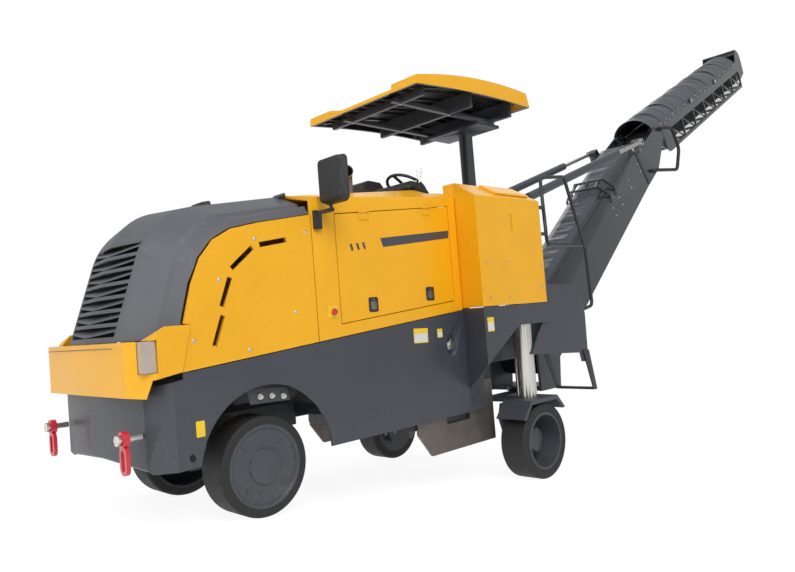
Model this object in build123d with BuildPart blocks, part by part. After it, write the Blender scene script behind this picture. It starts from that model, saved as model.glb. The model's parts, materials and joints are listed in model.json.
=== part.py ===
from build123d import *

import os
from math import asin, cos, degrees, dist, radians, sin

# Cold planer milling machine on four solid tyres, with a folding discharge conveyor.
#
# Every piece is drawn in the machine's level frame: X forward, Y to the left, Z up, in millimetres,
# with the origin on the ground under the middle of the front axle.  The machine is parked nose down
# on its extended rear columns, so each finished piece is turned about the front axle's middle, and
# moved forward so that the origin is under the machine's middle, before it is written.

os.makedirs("parts", exist_ok=True)

# ---- stance -------------------------------------------------------------------------------------
wheel_radius = 330
rear_axle_x = -2625
rear_leg_drop = 291          # how far the rear columns stand out below the level stance
origin_behind_axle = 4900    # the machine's middle, behind the front axle

# ---- clearances ---------------------------------------------------------------------------------
panel_gap = 6                # between panels that lie beside each other
moving_gap = 8               # between pieces that move past each other
pin_gap = 0.5                # radial, between a pin or shaft and its bore

# ---- wheels -------------------------------------------------------------------------------------
tyre_width = 250
front_tyre_wall = 60         # rubber thickness outside the rim
rear_tyre_wall = 82
front_wheel_y = 555          # middle of the tyre
rear_wheel_y = 957
rim_wall = 22
spindle_radius = 42
front_disc_recess = 14
rear_hub_radius = 105

# ---- front axle and steering ----------------------------------------------------------------------
kingpin_y = 380
kingpin_radius = 28
knuckle_height = 190
knuckle_radius = 58
axle_beam_height = 120
axle_beam_depth = 130

# ---- chassis --------------------------------------------------------------------------------------
chassis_half_width = 760
skin = 16
chassis_bottom_z = 372
arch_radius = 500
arch_centre_z = 365
nose_bottom_z = 432
front_plate_x = 800
overhang_half_width = 1050
flare_front_x = -2030        # where the side skin starts to flare out
flare_rear_x = -1945         # where the overhang's side begins
overhang_bottom_z = 1078
pocket_inner_z = 568         # lower edge of the flare beside the tub
pocket_outer_z = 777         # and beside the overhang
pocket_top_x = -2401         # where the pocket's slanting edge meets the overhang's bottom
rear_wall_x = -3340
tie_hole_x = 545
tie_hole_z = 500
tie_hole_radius = 24
valve_x = -1849              # middle of the pocket in the tub's side
valve_z = 954
valve_width = 125
valve_height = 190
valve_depth = 38
step_panel_y = 1018          # its inner face
step_panel_top_z = 1425
step_panel_rear_x = -3560
turret_low_z = 240
turret_high_z = 1390
arm_thickness = 60
slew_pin_radius = 40
division_front = (577, 1011)     # x, z of the line between grey chassis and yellow body
division_rear = (-2030, 1250)
tank_bottom_z = 1262

# ---- yellow body ----------------------------------------------------------------------------------
body_front_x = -455
body_rear_x = -2024
deck_flat_y = 450            # half width of the deck between its sloping shoulders
deck_sections = [  # x, z of the side edge, z of the flat
    (body_front_x, 2130, 2190),
    (body_rear_x, 2228, 2355),
]
body_wall = 25

bumper_front_x = 905
bumper_inner_half_width = 756
bumper_rear_low = (583, 1014)  # x, z of its rear edge's ends
bumper_rear_high = (511, 1291)
bumper_ledge_z = 1215        # its top across the front
bumper_ledge_front_x = 780   # where the raised sides start
bumper_ledge_rear_x = 680    # and reach their height
bumper_side_z = 1290
lamp_x = 775
lamp_z = 1120
lamp_height = 190
door_front_x = -665
door_rear_x = -1930
door_above_division = 88
door_top_front_z = 2021
door_top_rear_z = 2145
lid_x = -2567
lid_length = 480
lid_width = 200              # up the tank's slope
lid_edge = 80                # from the tank's side to the lid's hinge, along the slope
lid_hinge_radius = 10
door_hinge_radius = 9
door_hinge_out = 10          # from the door's face to its hinge line
hood_hinge_z = 2190
hood_hinge_radius = 15
hood_hinge_ahead = 22        # of the yellow body's front

# ---- hood -----------------------------------------------------------------------------------------
hood_wall = 22

# ---- operator's place -------------------------------------------------------------------------------
well_half_width = 610
well_front_x = -1850
floor_z = 1330
floor_thickness = 30

seat_x = -2520
console_top_z = 2535
steering_x = -2075
steering_y = 150
steering_z = 2440
steering_tilt = 30
exhaust_x = -1210
exhaust_y = 300
exhaust_height = 165
exhaust_radius = 52
ring_x = 870
ring_y = 610
ring_z = 660
rail_side_y = 1000
rail_radius = 17
intake_half_width = 240

# ---- tanks ----------------------------------------------------------------------------------------
tank_rear_x = -2885
tank_side_z = 2195           # where its side ends below the slope
tank_top_z = 2350
tank_slope_y = 770           # where the slope meets the flat top
tank_inner_y = 640
tank_slot_x = -2432
tank_slot_z = 1976
tank_slot_width = 30
tank_slot_height = 160

# ---- canopy ---------------------------------------------------------------------------------------
canopy_front_x = -1690
canopy_rear_x = -3362
canopy_half_width = 735
canopy_crest_x = -2900       # where its side outline is highest
canopy_crest_z = 3392
canopy_top_radius = 5600     # of the side outline's arcs
canopy_hem_z = 3245          # the skirt's lower edge below the crest
canopy_hem_radius = 12200
canopy_wall = 26
canopy_depth = 70            # thickness of the raised side lobes
canopy_channel = 42          # depth of the flat middle below the lobes
canopy_channel_half_width = 430
canopy_frame_z = 3150        # underside of the frame's side rails
canopy_rail_height = 40
post_x = -3205
post_depth = 150
post_width = 110
post_wall = 10
post_top_z = 2400
canopy_travel = 550
mast_depth = 124
mast_width = 84
canopy_rod_x = -3312
canopy_rod_radius = 8

# ---- rear columns ---------------------------------------------------------------------------------
column_radius = 84
sleeve_wall = 16
sleeve_bottom_z = 1082
column_top_z = 1500
column_offset = 25           # inward of the tyre's middle
fork_plate_z = 382
fork_plate_thickness = 36

# ---- milling drum ---------------------------------------------------------------------------------
drum_x = -1900
drum_z = 560
drum_tube_radius = 340
drum_pick_radius = 425       # to the tips of the picks
drum_half_width = 640
housing_front_x = -1375
housing_rear_x = -2410
housing_half_width = 690
housing_wall = 20
housing_top_z = 1040
housing_bottom_z = 310
edge_plate_bottom_z = 85
edge_plate_thickness = 24
drum_hub_radius = 90
pick_rows = 9
pick_step_angle = 26
scraper_x = -2436
scraper_half_width = 650
scraper_hinge_z = 740
intake_end_x = -3372
step_inner_y = 620
step_rung_z = 372

# ---- conveyor -------------------------------------------------------------------------------------
slew_x = -3780
luff_pivot_x = -4050
luff_pivot_z = 950
lower_angle = 39             # degrees above the machine's level
fold_distance = 4232         # luff pivot to fold pin, along the lower conveyor
fold_offset = -17            # the fold pin's height above the lower conveyor's axis
upper_angle = 25
upper_length = 4430
conveyor_half_width = 300
lower_above = 215            # side's top above the axis
lower_below = 345
lower_chamfer = 90
conveyor_skin = 12
foot_overhang = 350
cylinder_foot_x = -3660
cylinder_foot_z = 2390
cylinder_y = 400
cylinder_barrel_radius = 48
cylinder_rod_radius = 26
barrel_length = 2270
rod_eye_s = 3452             # rod's eye along the lower conveyor
rod_eye_up = 306             # and above its axis
fold_cheek = 18
hoop_places = (2290, 2470)    # along the lower conveyor
hoop_size = 24
fold_hose_radius = 24
upper_half_width = 290
truss_bays = 7
pulley_radius = 130
pulley_tail_s = 180
pulley_head_s = 4180
pulley_up = -90
belt_half_width = 235
belt_thickness = 14
cover_rise = 200

park_pitch = degrees(asin(rear_leg_drop / ((rear_leg_drop**2 + rear_axle_x**2) ** 0.5)))
park_pose = (
    Location((origin_behind_axle, 0, wheel_radius))
    * Location((0, 0, 0), (0, park_pitch, 0))
    * Location((0, 0, -wheel_radius))
)


def write_piece(piece, label):
    """Turn one finished piece into the parked stance and write it."""
    parked = park_pose * piece
    parked.label = label
    export_step(parked, f"parts/{label}.step")


def side_plane(y, x=0, z=0):
    """Plane for side profiles: local x is forward, local y is up, extrusion goes to the right."""
    return Plane(origin=(x, y, z), x_dir=(1, 0, 0), z_dir=(0, -1, 0))


def cross_plane(x):
    """Plane for sections seen from the front: local x is left, local y is up."""
    return Plane.YZ.offset(x)


def line_z(start, end, x):
    """Height at x of the straight line through two (x, z) points."""
    return start[1] + (end[1] - start[1]) * (x - start[0]) / (end[0] - start[0])


def on_lower(along, up):
    """(x, z) of a point given along the lower conveyor and above its axis."""
    slope = radians(lower_angle)
    return (
        luff_pivot_x - along * cos(slope) + up * sin(slope),
        luff_pivot_z + along * sin(slope) + up * cos(slope),
    )


def boom_plane(origin, angle, y=0):
    """Side plane of a rising boom: local x runs rearward along it, local y is up from it."""
    slope = radians(angle)
    return Plane(origin=(origin[0], y, origin[1]), x_dir=(-cos(slope), 0, sin(slope)), z_dir=(0, 1, 0))


def boom_section(origin, angle, along):
    """Plane square to a rising boom at a distance along it: local x is right, local y is up."""
    slope = radians(angle)
    direction = (-cos(slope), 0, sin(slope))
    centre = (origin[0] + along * direction[0], 0, origin[1] + along * direction[2])
    return Plane(origin=centre, x_dir=(0, -1, 0), z_dir=direction)


rear_axle = (rear_axle_x, wheel_radius - rear_leg_drop)
luff_pivot = (luff_pivot_x, luff_pivot_z)
fold_pin = on_lower(fold_distance, fold_offset)
rod_eye = on_lower(rod_eye_s, rod_eye_up)

# =================================================================================================
# wheels and axles
# =================================================================================================
front_rim_radius = wheel_radius - front_tyre_wall
rear_rim_radius = wheel_radius - rear_tyre_wall


def make_tyre(y, centre, rim_radius, label):
    """Solid rubber ring with rounded shoulders."""
    with BuildPart() as tyre:
        with BuildSketch(side_plane(y, *centre)):
            Circle(wheel_radius)
            Circle(rim_radius, mode=Mode.SUBTRACT)
        extrude(amount=tyre_width / 2, both=True)
        outer_edges = tyre.edges().filter_by(GeomType.CIRCLE).sort_by(SortBy.RADIUS)[-2:]
        fillet(outer_edges, radius=18)
    write_piece(tyre.part, label)


for side_name, side in (("left", 1), ("right", -1)):
    # front wheel: flat disc outside, open barrel inside round the knuckle
    with BuildPart() as front_rim:
        with BuildSketch(side_plane(side * front_wheel_y, 0, wheel_radius)):
            Circle(front_rim_radius)
        extrude(amount=tyre_width / 2, both=True)
        with BuildSketch(side_plane(side * (front_wheel_y - tyre_width / 2), 0, wheel_radius)):
            Circle(front_rim_radius - rim_wall)
            Circle(spindle_radius + 26, mode=Mode.SUBTRACT)
        extrude(amount=-side * (tyre_width - 60), mode=Mode.SUBTRACT)
        with BuildSketch(side_plane(side * (front_wheel_y - tyre_width / 2), 0, wheel_radius)):
            Circle(spindle_radius + 30)
        extrude(amount=-side * 60, mode=Mode.SUBTRACT)
        with BuildSketch(side_plane(side * (front_wheel_y - tyre_width / 2), 0, wheel_radius)):
            Circle(spindle_radius + pin_gap)
        extrude(amount=-side * (tyre_width - 60), mode=Mode.SUBTRACT)
        with BuildSketch(side_plane(side * (front_wheel_y + tyre_width / 2), 0, wheel_radius)):
            Circle(front_rim_radius - rim_wall)
            Circle(115, mode=Mode.SUBTRACT)
        extrude(amount=side * front_disc_recess, mode=Mode.SUBTRACT)
        with BuildSketch(side_plane(side * (front_wheel_y + tyre_width / 2 - front_disc_recess), 0, wheel_radius)):
            with PolarLocations(190, 4, start_angle=45):
                Circle(14)
        extrude(amount=-side * 8)
    write_piece(front_rim.part, f"front_rim_{side_name}")
    make_tyre(side * front_wheel_y, (0, wheel_radius), front_rim_radius, f"front_tyre_{side_name}")

    # knuckle: upright on the kingpin with the spindle that carries the wheel
    with BuildPart() as knuckle:
        with Locations((0, side * kingpin_y, wheel_radius)):
            Cylinder(knuckle_radius, knuckle_height)
            Cylinder(kingpin_radius + pin_gap, knuckle_height, mode=Mode.SUBTRACT)
        with BuildSketch(side_plane(side * (kingpin_y + kingpin_radius + 8))):
            with Locations((0, wheel_radius)):
                Circle(spindle_radius)
        extrude(amount=-side * 190)
        with Locations((-120, side * (kingpin_y + 8), wheel_radius)):
            Box(150, 56, 30)
        with Locations((0, side * kingpin_y, wheel_radius)):
            Cylinder(kingpin_radius + pin_gap, knuckle_height, mode=Mode.SUBTRACT)
    write_piece(knuckle.part, f"knuckle_{side_name}")

    # rear wheel: deep dish with the hub motor in the middle
    with BuildPart() as rear_rim:
        with BuildSketch(side_plane(side * rear_wheel_y, *rear_axle)):
            Circle(rear_rim_radius)
            Circle(rear_rim_radius - rim_wall, mode=Mode.SUBTRACT)
        extrude(amount=tyre_width / 2, both=True)
        inner_face = side_plane(side * (rear_wheel_y - tyre_width / 2), *rear_axle)
        with BuildSketch(inner_face):
            Circle(rear_rim_radius - rim_wall / 2)
        extrude(amount=-side * 35)
        with BuildSketch(inner_face):
            Circle(rear_hub_radius)
        extrude(amount=-side * 150)
        with BuildSketch(inner_face):
            Circle(spindle_radius + pin_gap)
        extrude(amount=-side * 110, mode=Mode.SUBTRACT)
    write_piece(rear_rim.part, f"rear_rim_{side_name}")
    make_tyre(side * rear_wheel_y, rear_axle, rear_rim_radius, f"rear_tyre_{side_name}")

    # lifting column: bright tube in the chassis sleeve, seated on the fork plate
    with BuildPart() as rear_column:
        with BuildSketch(Plane.XY.offset(fork_plate_z + fork_plate_thickness)):
            with Locations((rear_axle_x, side * (rear_wheel_y - column_offset))):
                Circle(column_radius)
        extrude(amount=column_top_z - fork_plate_z - fork_plate_thickness)
    write_piece(rear_column.part, f"rear_column_{side_name}")

    # fork: bent mudguard plate over the tyre, leg down the inner side, spindle
    fork_inner_y = rear_wheel_y - tyre_width / 2 - 20
    with BuildPart() as rear_fork:
        with BuildSketch(side_plane(side * rear_wheel_y, rear_axle_x)):
            with BuildLine():
                Polyline(
                    (330, fork_plate_z - 110),
                    (300, fork_plate_z - 118),
                    (190, fork_plate_z),
                    (-190, fork_plate_z),
                    (-290, fork_plate_z - 95),
                    (-315, fork_plate_z - 85),
                    (-205, fork_plate_z + fork_plate_thickness),
                    (200, fork_plate_z + fork_plate_thickness),
                    close=True,
                )
            make_face()
        extrude(amount=150, both=True)
        with BuildSketch(side_plane(side * fork_inner_y, rear_axle_x)):
            with BuildLine():
                Polyline(
                    (210, fork_plate_z + 5),
                    (250, fork_plate_z - 120),
                    (120, rear_axle[1] - 130),
                    (-90, rear_axle[1] - 130),
                    (-190, fork_plate_z + 5),
                    close=True,
                )
            make_face()
        extrude(amount=side * 45)
        with BuildSketch(side_plane(side * (fork_inner_y - 2), *rear_axle)):
            Circle(spindle_radius)
        extrude(amount=-side * 120)
    write_piece(rear_fork.part, f"rear_fork_{side_name}")

# front axle beam with fork ends round the knuckles
with BuildPart() as front_axle:
    with Locations((0, 0, wheel_radius)):
        Box(axle_beam_depth, 2 * (kingpin_y - knuckle_radius - 30), axle_beam_height)
        Cylinder(70, 260)
    for side in (1, -1):
        for level in (1, -1):
            lug_z = wheel_radius + level * (knuckle_height / 2 + 2 + 16)
            with Locations((0, side * (kingpin_y - 35), lug_z)):
                Box(axle_beam_depth * 0.8, 150, 32)
        with Locations((0, side * (kingpin_y - knuckle_radius - 40), wheel_radius)):
            Box(axle_beam_depth * 0.8, 40, knuckle_height + 60)
        with Locations((0, side * kingpin_y, wheel_radius)):
            Cylinder(kingpin_radius, knuckle_height + 68)
write_piece(front_axle.part, "front_axle")

# =================================================================================================
# chassis
# =================================================================================================
sleeve_y = rear_wheel_y - column_offset
body_base_z = tank_bottom_z - panel_gap
slope_length = dist((overhang_half_width, tank_side_z), (tank_slope_y, tank_top_z))
slope_cos = (overhang_half_width - tank_slope_y) / slope_length
slope_sin = (tank_top_z - tank_side_z) / slope_length
lid_hinge_y = overhang_half_width - lid_edge * slope_cos + (lid_hinge_radius + 1) * slope_sin
lid_hinge_z = tank_side_z + lid_edge * slope_sin + (lid_hinge_radius + 1) * slope_cos


def division_z(x):
    """Height of the sloping line between the grey chassis and the yellow body."""
    return line_z(division_front, division_rear, x)


def nose_plan(front_x, half_width, rear_x):
    """Plan outline with a blunt, chamfered front, as (x, y) points from the left round to the right."""
    left = [(rear_x, half_width), (front_x - 160, half_width), (front_x - 30, half_width - 130), (front_x, 0)]
    right = [(x, -y) for x, y in reversed(left[:-1])]
    return left + right


with BuildPart() as chassis_frame:
    # tub: the side outline across the width, trimmed to the plan, then opened above and below
    with BuildSketch(side_plane(0)):
        with BuildLine():
            Polyline(
                (front_plate_x, nose_bottom_z + 60),
                (front_plate_x - 60, nose_bottom_z),
                (arch_radius - 10, nose_bottom_z + 8),
                (arch_radius - 10, chassis_bottom_z),
                (flare_front_x, chassis_bottom_z),
                (flare_front_x, division_rear[1] - panel_gap),
                (division_front[0], division_front[1] - panel_gap),
                (division_front[0], 970),
                (front_plate_x, 930),
                close=True,
            )
        make_face()
    extrude(amount=chassis_half_width, both=True)
    with BuildSketch(Plane.XY):
        with BuildLine():
            Polyline(*nose_plan(front_plate_x, chassis_half_width, flare_front_x), close=True)
        make_face()
    extrude(amount=2000, mode=Mode.INTERSECT)
    with BuildSketch(Plane.XY):
        with BuildLine():
            Polyline(
                *nose_plan(front_plate_x - skin, chassis_half_width - skin, flare_front_x - 50), close=True
            )
        make_face()
    extrude(amount=2000, mode=Mode.SUBTRACT)
    with BuildSketch(side_plane(0)):
        with Locations((0, arch_centre_z)):
            Circle(arch_radius)
        with Locations((tie_hole_x, tie_hole_z)):
            Circle(tie_hole_radius)
    extrude(amount=chassis_half_width + 5, both=True, mode=Mode.SUBTRACT)
    # shallow pocket in each side for a valve
    for side in (1, -1):
        pocket_plane = side_plane(side * chassis_half_width, valve_x, valve_z)
        with BuildSketch(pocket_plane):
            RectangleRounded(valve_width + 2 * skin, valve_height + 2 * skin, valve_width / 2 + skin - 1)
        extrude(amount=side * (valve_depth + skin))
        with BuildSketch(pocket_plane):
            RectangleRounded(valve_width, valve_height, valve_width / 2 - 1)
        extrude(amount=side * valve_depth, mode=Mode.SUBTRACT)
    cross_walls = [  # x, low z, high z
        (front_plate_x - 270, 640, 960),
        (-620, 560, 1100),
    ]
    for wall_x, low_z, high_z in cross_walls:
        with Locations((wall_x, 0, (low_z + high_z) / 2)):
            Box(skin, 2 * chassis_half_width - skin, high_z - low_z)
    # main rails over the front axle
    for side in (1, -1):
        with Locations((-45, side * 140, 560)):
            Box(1150, 70, 180)
    with Locations((0, 0, 500)):
        Box(240, 300, 60)
write_piece(chassis_frame.part, "chassis_frame")

# wide rear part of the chassis: flares, overhangs, column sleeves and rear wall
with BuildPart() as rear_frame:
    for side in (1, -1):
        # flared strip and overhang side
        with BuildSketch(Plane.XY.offset(chassis_bottom_z)):
            with BuildLine():
                Polyline(
                    (flare_front_x, side * chassis_half_width),
                    (flare_rear_x, side * overhang_half_width),
                    (tank_rear_x, side * overhang_half_width),
                    (tank_rear_x, side * (overhang_half_width - skin)),
                    (flare_rear_x - skin, side * (overhang_half_width - skin)),
                    (flare_front_x - skin, side * (chassis_half_width - skin)),
                    (flare_front_x, side * (chassis_half_width - skin)),
                    close=True,
                )
            make_face()
        extrude(amount=body_base_z - chassis_bottom_z)
    # wheel pockets cut out of the flares and overhangs
    for side in (1, -1):
        with BuildSketch(side_plane(side * (overhang_half_width - skin - 1))):
            with BuildLine():
                Polyline(
                    (flare_rear_x + 100, 0),
                    (flare_rear_x + 100, pocket_outer_z - 63),
                    (flare_rear_x, pocket_outer_z),
                    (pocket_top_x, overhang_bottom_z - 12),
                    (pocket_top_x - 20, overhang_bottom_z),
                    (tank_rear_x - 50, overhang_bottom_z),
                    (tank_rear_x - 50, 0),
                    close=True,
                )
            make_face()
        extrude(amount=-side * (skin + 5), mode=Mode.SUBTRACT)
        with BuildSketch(cross_plane(flare_front_x - skin - 5)):
            with BuildLine():
                Polyline(
                    (side * (chassis_half_width - 30), 0),
                    (side * (chassis_half_width - 30), pocket_inner_z),
                    (side * chassis_half_width, pocket_inner_z),
                    (side * (overhang_half_width + 5), pocket_outer_z),
                    (side * (overhang_half_width + 5), 0),
                    close=True,
                )
            make_face()
        extrude(amount=flare_rear_x - flare_front_x + 2 * skin + 10, mode=Mode.SUBTRACT)
    for side in (1, -1):
        # inner wall beside the wheel pocket, and the rear side panel by the steps
        with BuildSketch(side_plane(side * (chassis_half_width - skin / 2))):
            with BuildLine():
                Polyline(
                    (flare_front_x, chassis_bottom_z),
                    (-2200, chassis_bottom_z),
                    (-2260, 760),
                    (rear_wall_x, 760),
                    (rear_wall_x, body_base_z),
                    (flare_front_x, body_base_z),
                    close=True,
                )
            make_face()
        extrude(amount=skin / 2, both=True)
        with BuildSketch(side_plane(side * step_panel_y)):
            with BuildLine():
                Polyline(
                    (tank_rear_x + 60, overhang_bottom_z + 4),
                    (tank_rear_x + 290, 805),
                    (step_panel_rear_x + 143, 742),
                    (step_panel_rear_x + 120, 655),
                    (step_panel_rear_x + 11, 642),
                    (step_panel_rear_x, 1120),
                    (step_panel_rear_x + 100, step_panel_top_z - 16),
                    (tank_rear_x - panel_gap, step_panel_top_z),
                    (tank_rear_x - panel_gap, body_base_z),
                    (tank_rear_x + 60, body_base_z),
                    close=True,
                )
            make_face()
        extrude(amount=-side * skin)
        # overhang floor with the column sleeve, and its slanting front part
        with BuildSketch(Plane.XY.offset(overhang_bottom_z)):
            with Locations(((pocket_top_x + rear_wall_x) / 2, side * (chassis_half_width + step_panel_y) / 2)):
                Rectangle(pocket_top_x - rear_wall_x, step_panel_y - chassis_half_width + skin)
        extrude(amount=skin)
        with BuildSketch(side_plane(side * (chassis_half_width - skin / 2))):
            with BuildLine():
                slant_low_z = line_z((pocket_top_x, overhang_bottom_z), (flare_rear_x, pocket_outer_z), flare_front_x)
                Polyline(
                    (flare_front_x, slant_low_z),
                    (pocket_top_x, overhang_bottom_z),
                    (pocket_top_x, overhang_bottom_z + skin),
                    (flare_front_x, slant_low_z + skin + 3),
                    close=True,
                )
            make_face()
        extrude(amount=-side * (overhang_half_width - chassis_half_width - 2))
        with BuildSketch(Plane.XY.offset(overhang_bottom_z)):
            with Locations((rear_axle_x, side * sleeve_y)):
                Circle(column_radius + sleeve_wall)
        extrude(amount=body_base_z - overhang_bottom_z)
        with BuildSketch(Plane.XY.offset(overhang_bottom_z)):
            with Locations((rear_axle_x, side * sleeve_y)):
                Circle(column_radius + pin_gap)
        extrude(amount=body_base_z - overhang_bottom_z, mode=Mode.SUBTRACT)
    with Locations((rear_wall_x + skin / 2, 0, (760 + body_base_z) / 2)):
        Box(skin, 2 * chassis_half_width - skin, body_base_z - 760)
        Box(skin, 2 * intake_half_width + 40, body_base_z - 760 - 80, mode=Mode.SUBTRACT)
    for side in (1, -1):
        with Locations((rear_wall_x + skin / 2, side * (chassis_half_width + step_panel_y) / 2, 1010)):
            Box(skin, step_panel_y - chassis_half_width + skin, 420)
write_piece(rear_frame.part, "rear_frame")

# bracket on the rear wall that carries the conveyor's turret
with BuildPart() as turret_bracket:
    for side in (1, -1):
        with Locations((rear_wall_x - 25, side * 320, 865)):
            Box(50, 60, 1250)
    for arm_z in (turret_low_z, turret_high_z):
        with Locations((rear_wall_x - 25, 0, arm_z + arm_thickness / 2)):
            Box(50, 700, arm_thickness)
        with Locations(((slew_x + rear_wall_x) / 2, 0, arm_z + arm_thickness / 2)):
            Box(rear_wall_x - slew_x, 180, arm_thickness)
        with Locations((slew_x, 0, arm_z + arm_thickness / 2)):
            Cylinder(90, arm_thickness)
            Cylinder(slew_pin_radius + pin_gap, arm_thickness, mode=Mode.SUBTRACT)
write_piece(turret_bracket.part, "turret_bracket")

# engine: one heavy block behind the front axle
with BuildPart() as engine_block:
    with Locations((-1060, 0, 1460)):
        Box(1200, 620, 700)
write_piece(engine_block.part, "engine_block")

# front bumper: yellow band round the nose with the lamp recesses
with BuildPart() as front_bumper:
    with BuildSketch(side_plane(0)):
        with BuildLine():
            Polyline(
                (bumper_front_x + 40, bumper_ledge_z),
                (bumper_front_x + 40, 905),
                (790, 880),
                (760, 985),
                bumper_rear_low,
                bumper_rear_high,
                (bumper_ledge_rear_x, bumper_side_z),
                (bumper_ledge_front_x, bumper_ledge_z),
                close=True,
            )
        make_face()
    extrude(amount=chassis_half_width + 12, both=True)
    with BuildSketch(Plane.XY):
        with BuildLine():
            Polyline(*nose_plan(bumper_front_x, chassis_half_width + 12, 500), close=True)
        make_face()
    extrude(amount=2000, mode=Mode.INTERSECT)
    with BuildSketch(Plane.XY):
        with BuildLine():
            Polyline(*nose_plan(bumper_front_x - 60, bumper_inner_half_width, 400), close=True)
        make_face()
    extrude(amount=2000, mode=Mode.SUBTRACT)
    with BuildSketch(side_plane(0)):
        with Locations((lamp_x, lamp_z)):
            Rectangle(90, lamp_height)
    extrude(amount=chassis_half_width + 20, both=True, mode=Mode.SUBTRACT)
write_piece(front_bumper.part, "front_bumper")

with BuildPart() as headlamps:
    for side in (1, -1):
        with BuildSketch(side_plane(side * (chassis_half_width - 4))):
            with Locations((lamp_x, lamp_z)):
                Rectangle(84, lamp_height - 6)
        extrude(amount=side * 90)
write_piece(headlamps.part, "headlamps")

# =================================================================================================
# hood and yellow body
# =================================================================================================
# side outline shared by the hood's lower edge and the yellow side panels, as (x, z)
panel_edge = [(548, 1298), (481, 1537), (412, 1695), (315, 1811), (187, 1883), (-10, 1928)]
panel_edge_rear_z = 2002
hood_sections = [  # y, then (x, z) of front foot, top of the straight front, middle of the bend, start of the top, rear
    (0, (865, 1218), (680, 1760), (555, 1985), (300, 2100), 2210),
    (380, (820, 1218), (635, 1760), (500, 1960), (250, 2085), 2195),
    (620, (680, 1218), (535, 1690), (420, 1865), (200, 1995), 2100),
    (632, (658, 1218), (513, 1668), (398, 1843), (178, 1973), 2078),
    (700, (585, 1218), (470, 1650), (340, 1840), (120, 1955), 2072),
    (750, (570, 1218), (435, 1620), (300, 1800), (100, 1900), 2000),
]
louvre_count = 7
louvre_first_z = 1285
louvre_pitch = 88
louvre_opening = 64
louvre_half_width = 360
louvre_depth = 75
louvre_tilt = 28             # degrees, its outer edge lower
louvre_thickness = 7


def nose_x(z):
    """x of the nose's middle line at a height."""
    _, foot, bend_start, *_ = hood_sections[0]
    return foot[0] + (bend_start[0] - foot[0]) * (z - foot[1]) / (bend_start[1] - foot[1])


def hood_block(shrink):
    """Solid hood form through its side sections, drawn in by shrink."""
    rear_x = body_front_x + panel_gap
    mirrored = [(-row[0], *row[1:]) for row in reversed(hood_sections[1:])]
    with BuildPart() as block:
        for y, foot, bend_start, bend_middle, bend_end, rear_z in mirrored + hood_sections:
            with BuildSketch(side_plane(y * (1 - shrink / hood_sections[-1][0]))):
                with BuildLine():
                    Line((foot[0] - shrink, foot[1]), (bend_start[0] - shrink, bend_start[1] - shrink / 2))
                    ThreePointArc(
                        (bend_start[0] - shrink, bend_start[1] - shrink / 2),
                        (bend_middle[0] - 0.75 * shrink, bend_middle[1] - 0.75 * shrink),
                        (bend_end[0] - shrink / 3, bend_end[1] - shrink),
                    )
                    Polyline(
                        (bend_end[0] - shrink / 3, bend_end[1] - shrink),
                        (rear_x, rear_z - shrink),
                        (rear_x, foot[1]),
                        (foot[0] - shrink, foot[1]),
                    )
                make_face()
        loft(ruled=True)
    return block.part


hood_outside = hood_block(0)
hood_inside = hood_block(hood_wall)
hood_core = hood_block(louvre_depth)
with BuildPart() as louvres:
    # blades that end flush with the nose
    for slat in range(louvre_count):
        blade_z = louvre_first_z + slat * louvre_pitch - louvre_opening / 2 + louvre_thickness
        with Locations(Location((nose_x(blade_z), 0, blade_z), (0, louvre_tilt, 0))):
            Box(400, 2 * louvre_half_width + 4, louvre_thickness)
    add(hood_outside, mode=Mode.INTERSECT)
    add(hood_core, mode=Mode.SUBTRACT)
with BuildPart() as hood_shell:
    add(hood_outside)
    add(hood_inside, mode=Mode.SUBTRACT)
    # sides end above the yellow panels
    with BuildSketch(side_plane(0)):
        with BuildLine():
            Polyline(
                (548 + panel_gap, 1000),
                *[(x + panel_gap, z + panel_gap) for x, z in panel_edge],
                (body_front_x - 5, panel_edge_rear_z + panel_gap),
                (body_front_x - 5, 1000),
                close=True,
            )
        make_face()
    extrude(amount=1000, both=True, mode=Mode.SUBTRACT)
    # openings between the louvre blades
    for slat in range(louvre_count):
        with Locations((700, 0, louvre_first_z + slat * louvre_pitch)):
            Box(500, 2 * louvre_half_width, louvre_opening, mode=Mode.SUBTRACT)
    add(louvres.part)
    for side in (1, -1):
        with BuildSketch(side_plane(side * 370, body_front_x + hood_hinge_ahead, hood_hinge_z)):
            Circle(hood_hinge_radius)
        extrude(amount=-side * 120)
write_piece(hood_shell.part, "hood_shell")

with BuildPart() as side_panels:
    for side in (1, -1):
        with BuildSketch(side_plane(side * chassis_half_width)):
            with BuildLine():
                Polyline(
                    (bumper_rear_low[0] - panel_gap, division_z(bumper_rear_low[0] - panel_gap)),
                    (bumper_rear_high[0] - panel_gap, bumper_rear_high[1]),
                    *panel_edge,
                    (body_front_x + panel_gap, panel_edge_rear_z),
                    (body_front_x + panel_gap, division_z(body_front_x)),
                    close=True,
                )
            make_face()
            panel_slots = [  # x, z, length, angle
                (322, 1240, 200, 111),
                (255, 1480, 195, 111),
                (122, 1695, 215, 140),
                (-124, 1801, 220, 170),
            ]
            for slot_x, slot_z, slot_length, slot_angle in panel_slots:
                with Locations((slot_x, slot_z)):
                    Rectangle(slot_length, 34, rotation=slot_angle, mode=Mode.SUBTRACT)
        extrude(amount=side * body_wall)
write_piece(side_panels.part, "side_panels")

def deck_z(x):
    """Height of the deck's flat top."""
    (front_x, _, front_z), (rear_x, _, rear_z) = deck_sections
    return line_z((front_x, front_z), (rear_x, rear_z), x)


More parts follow.
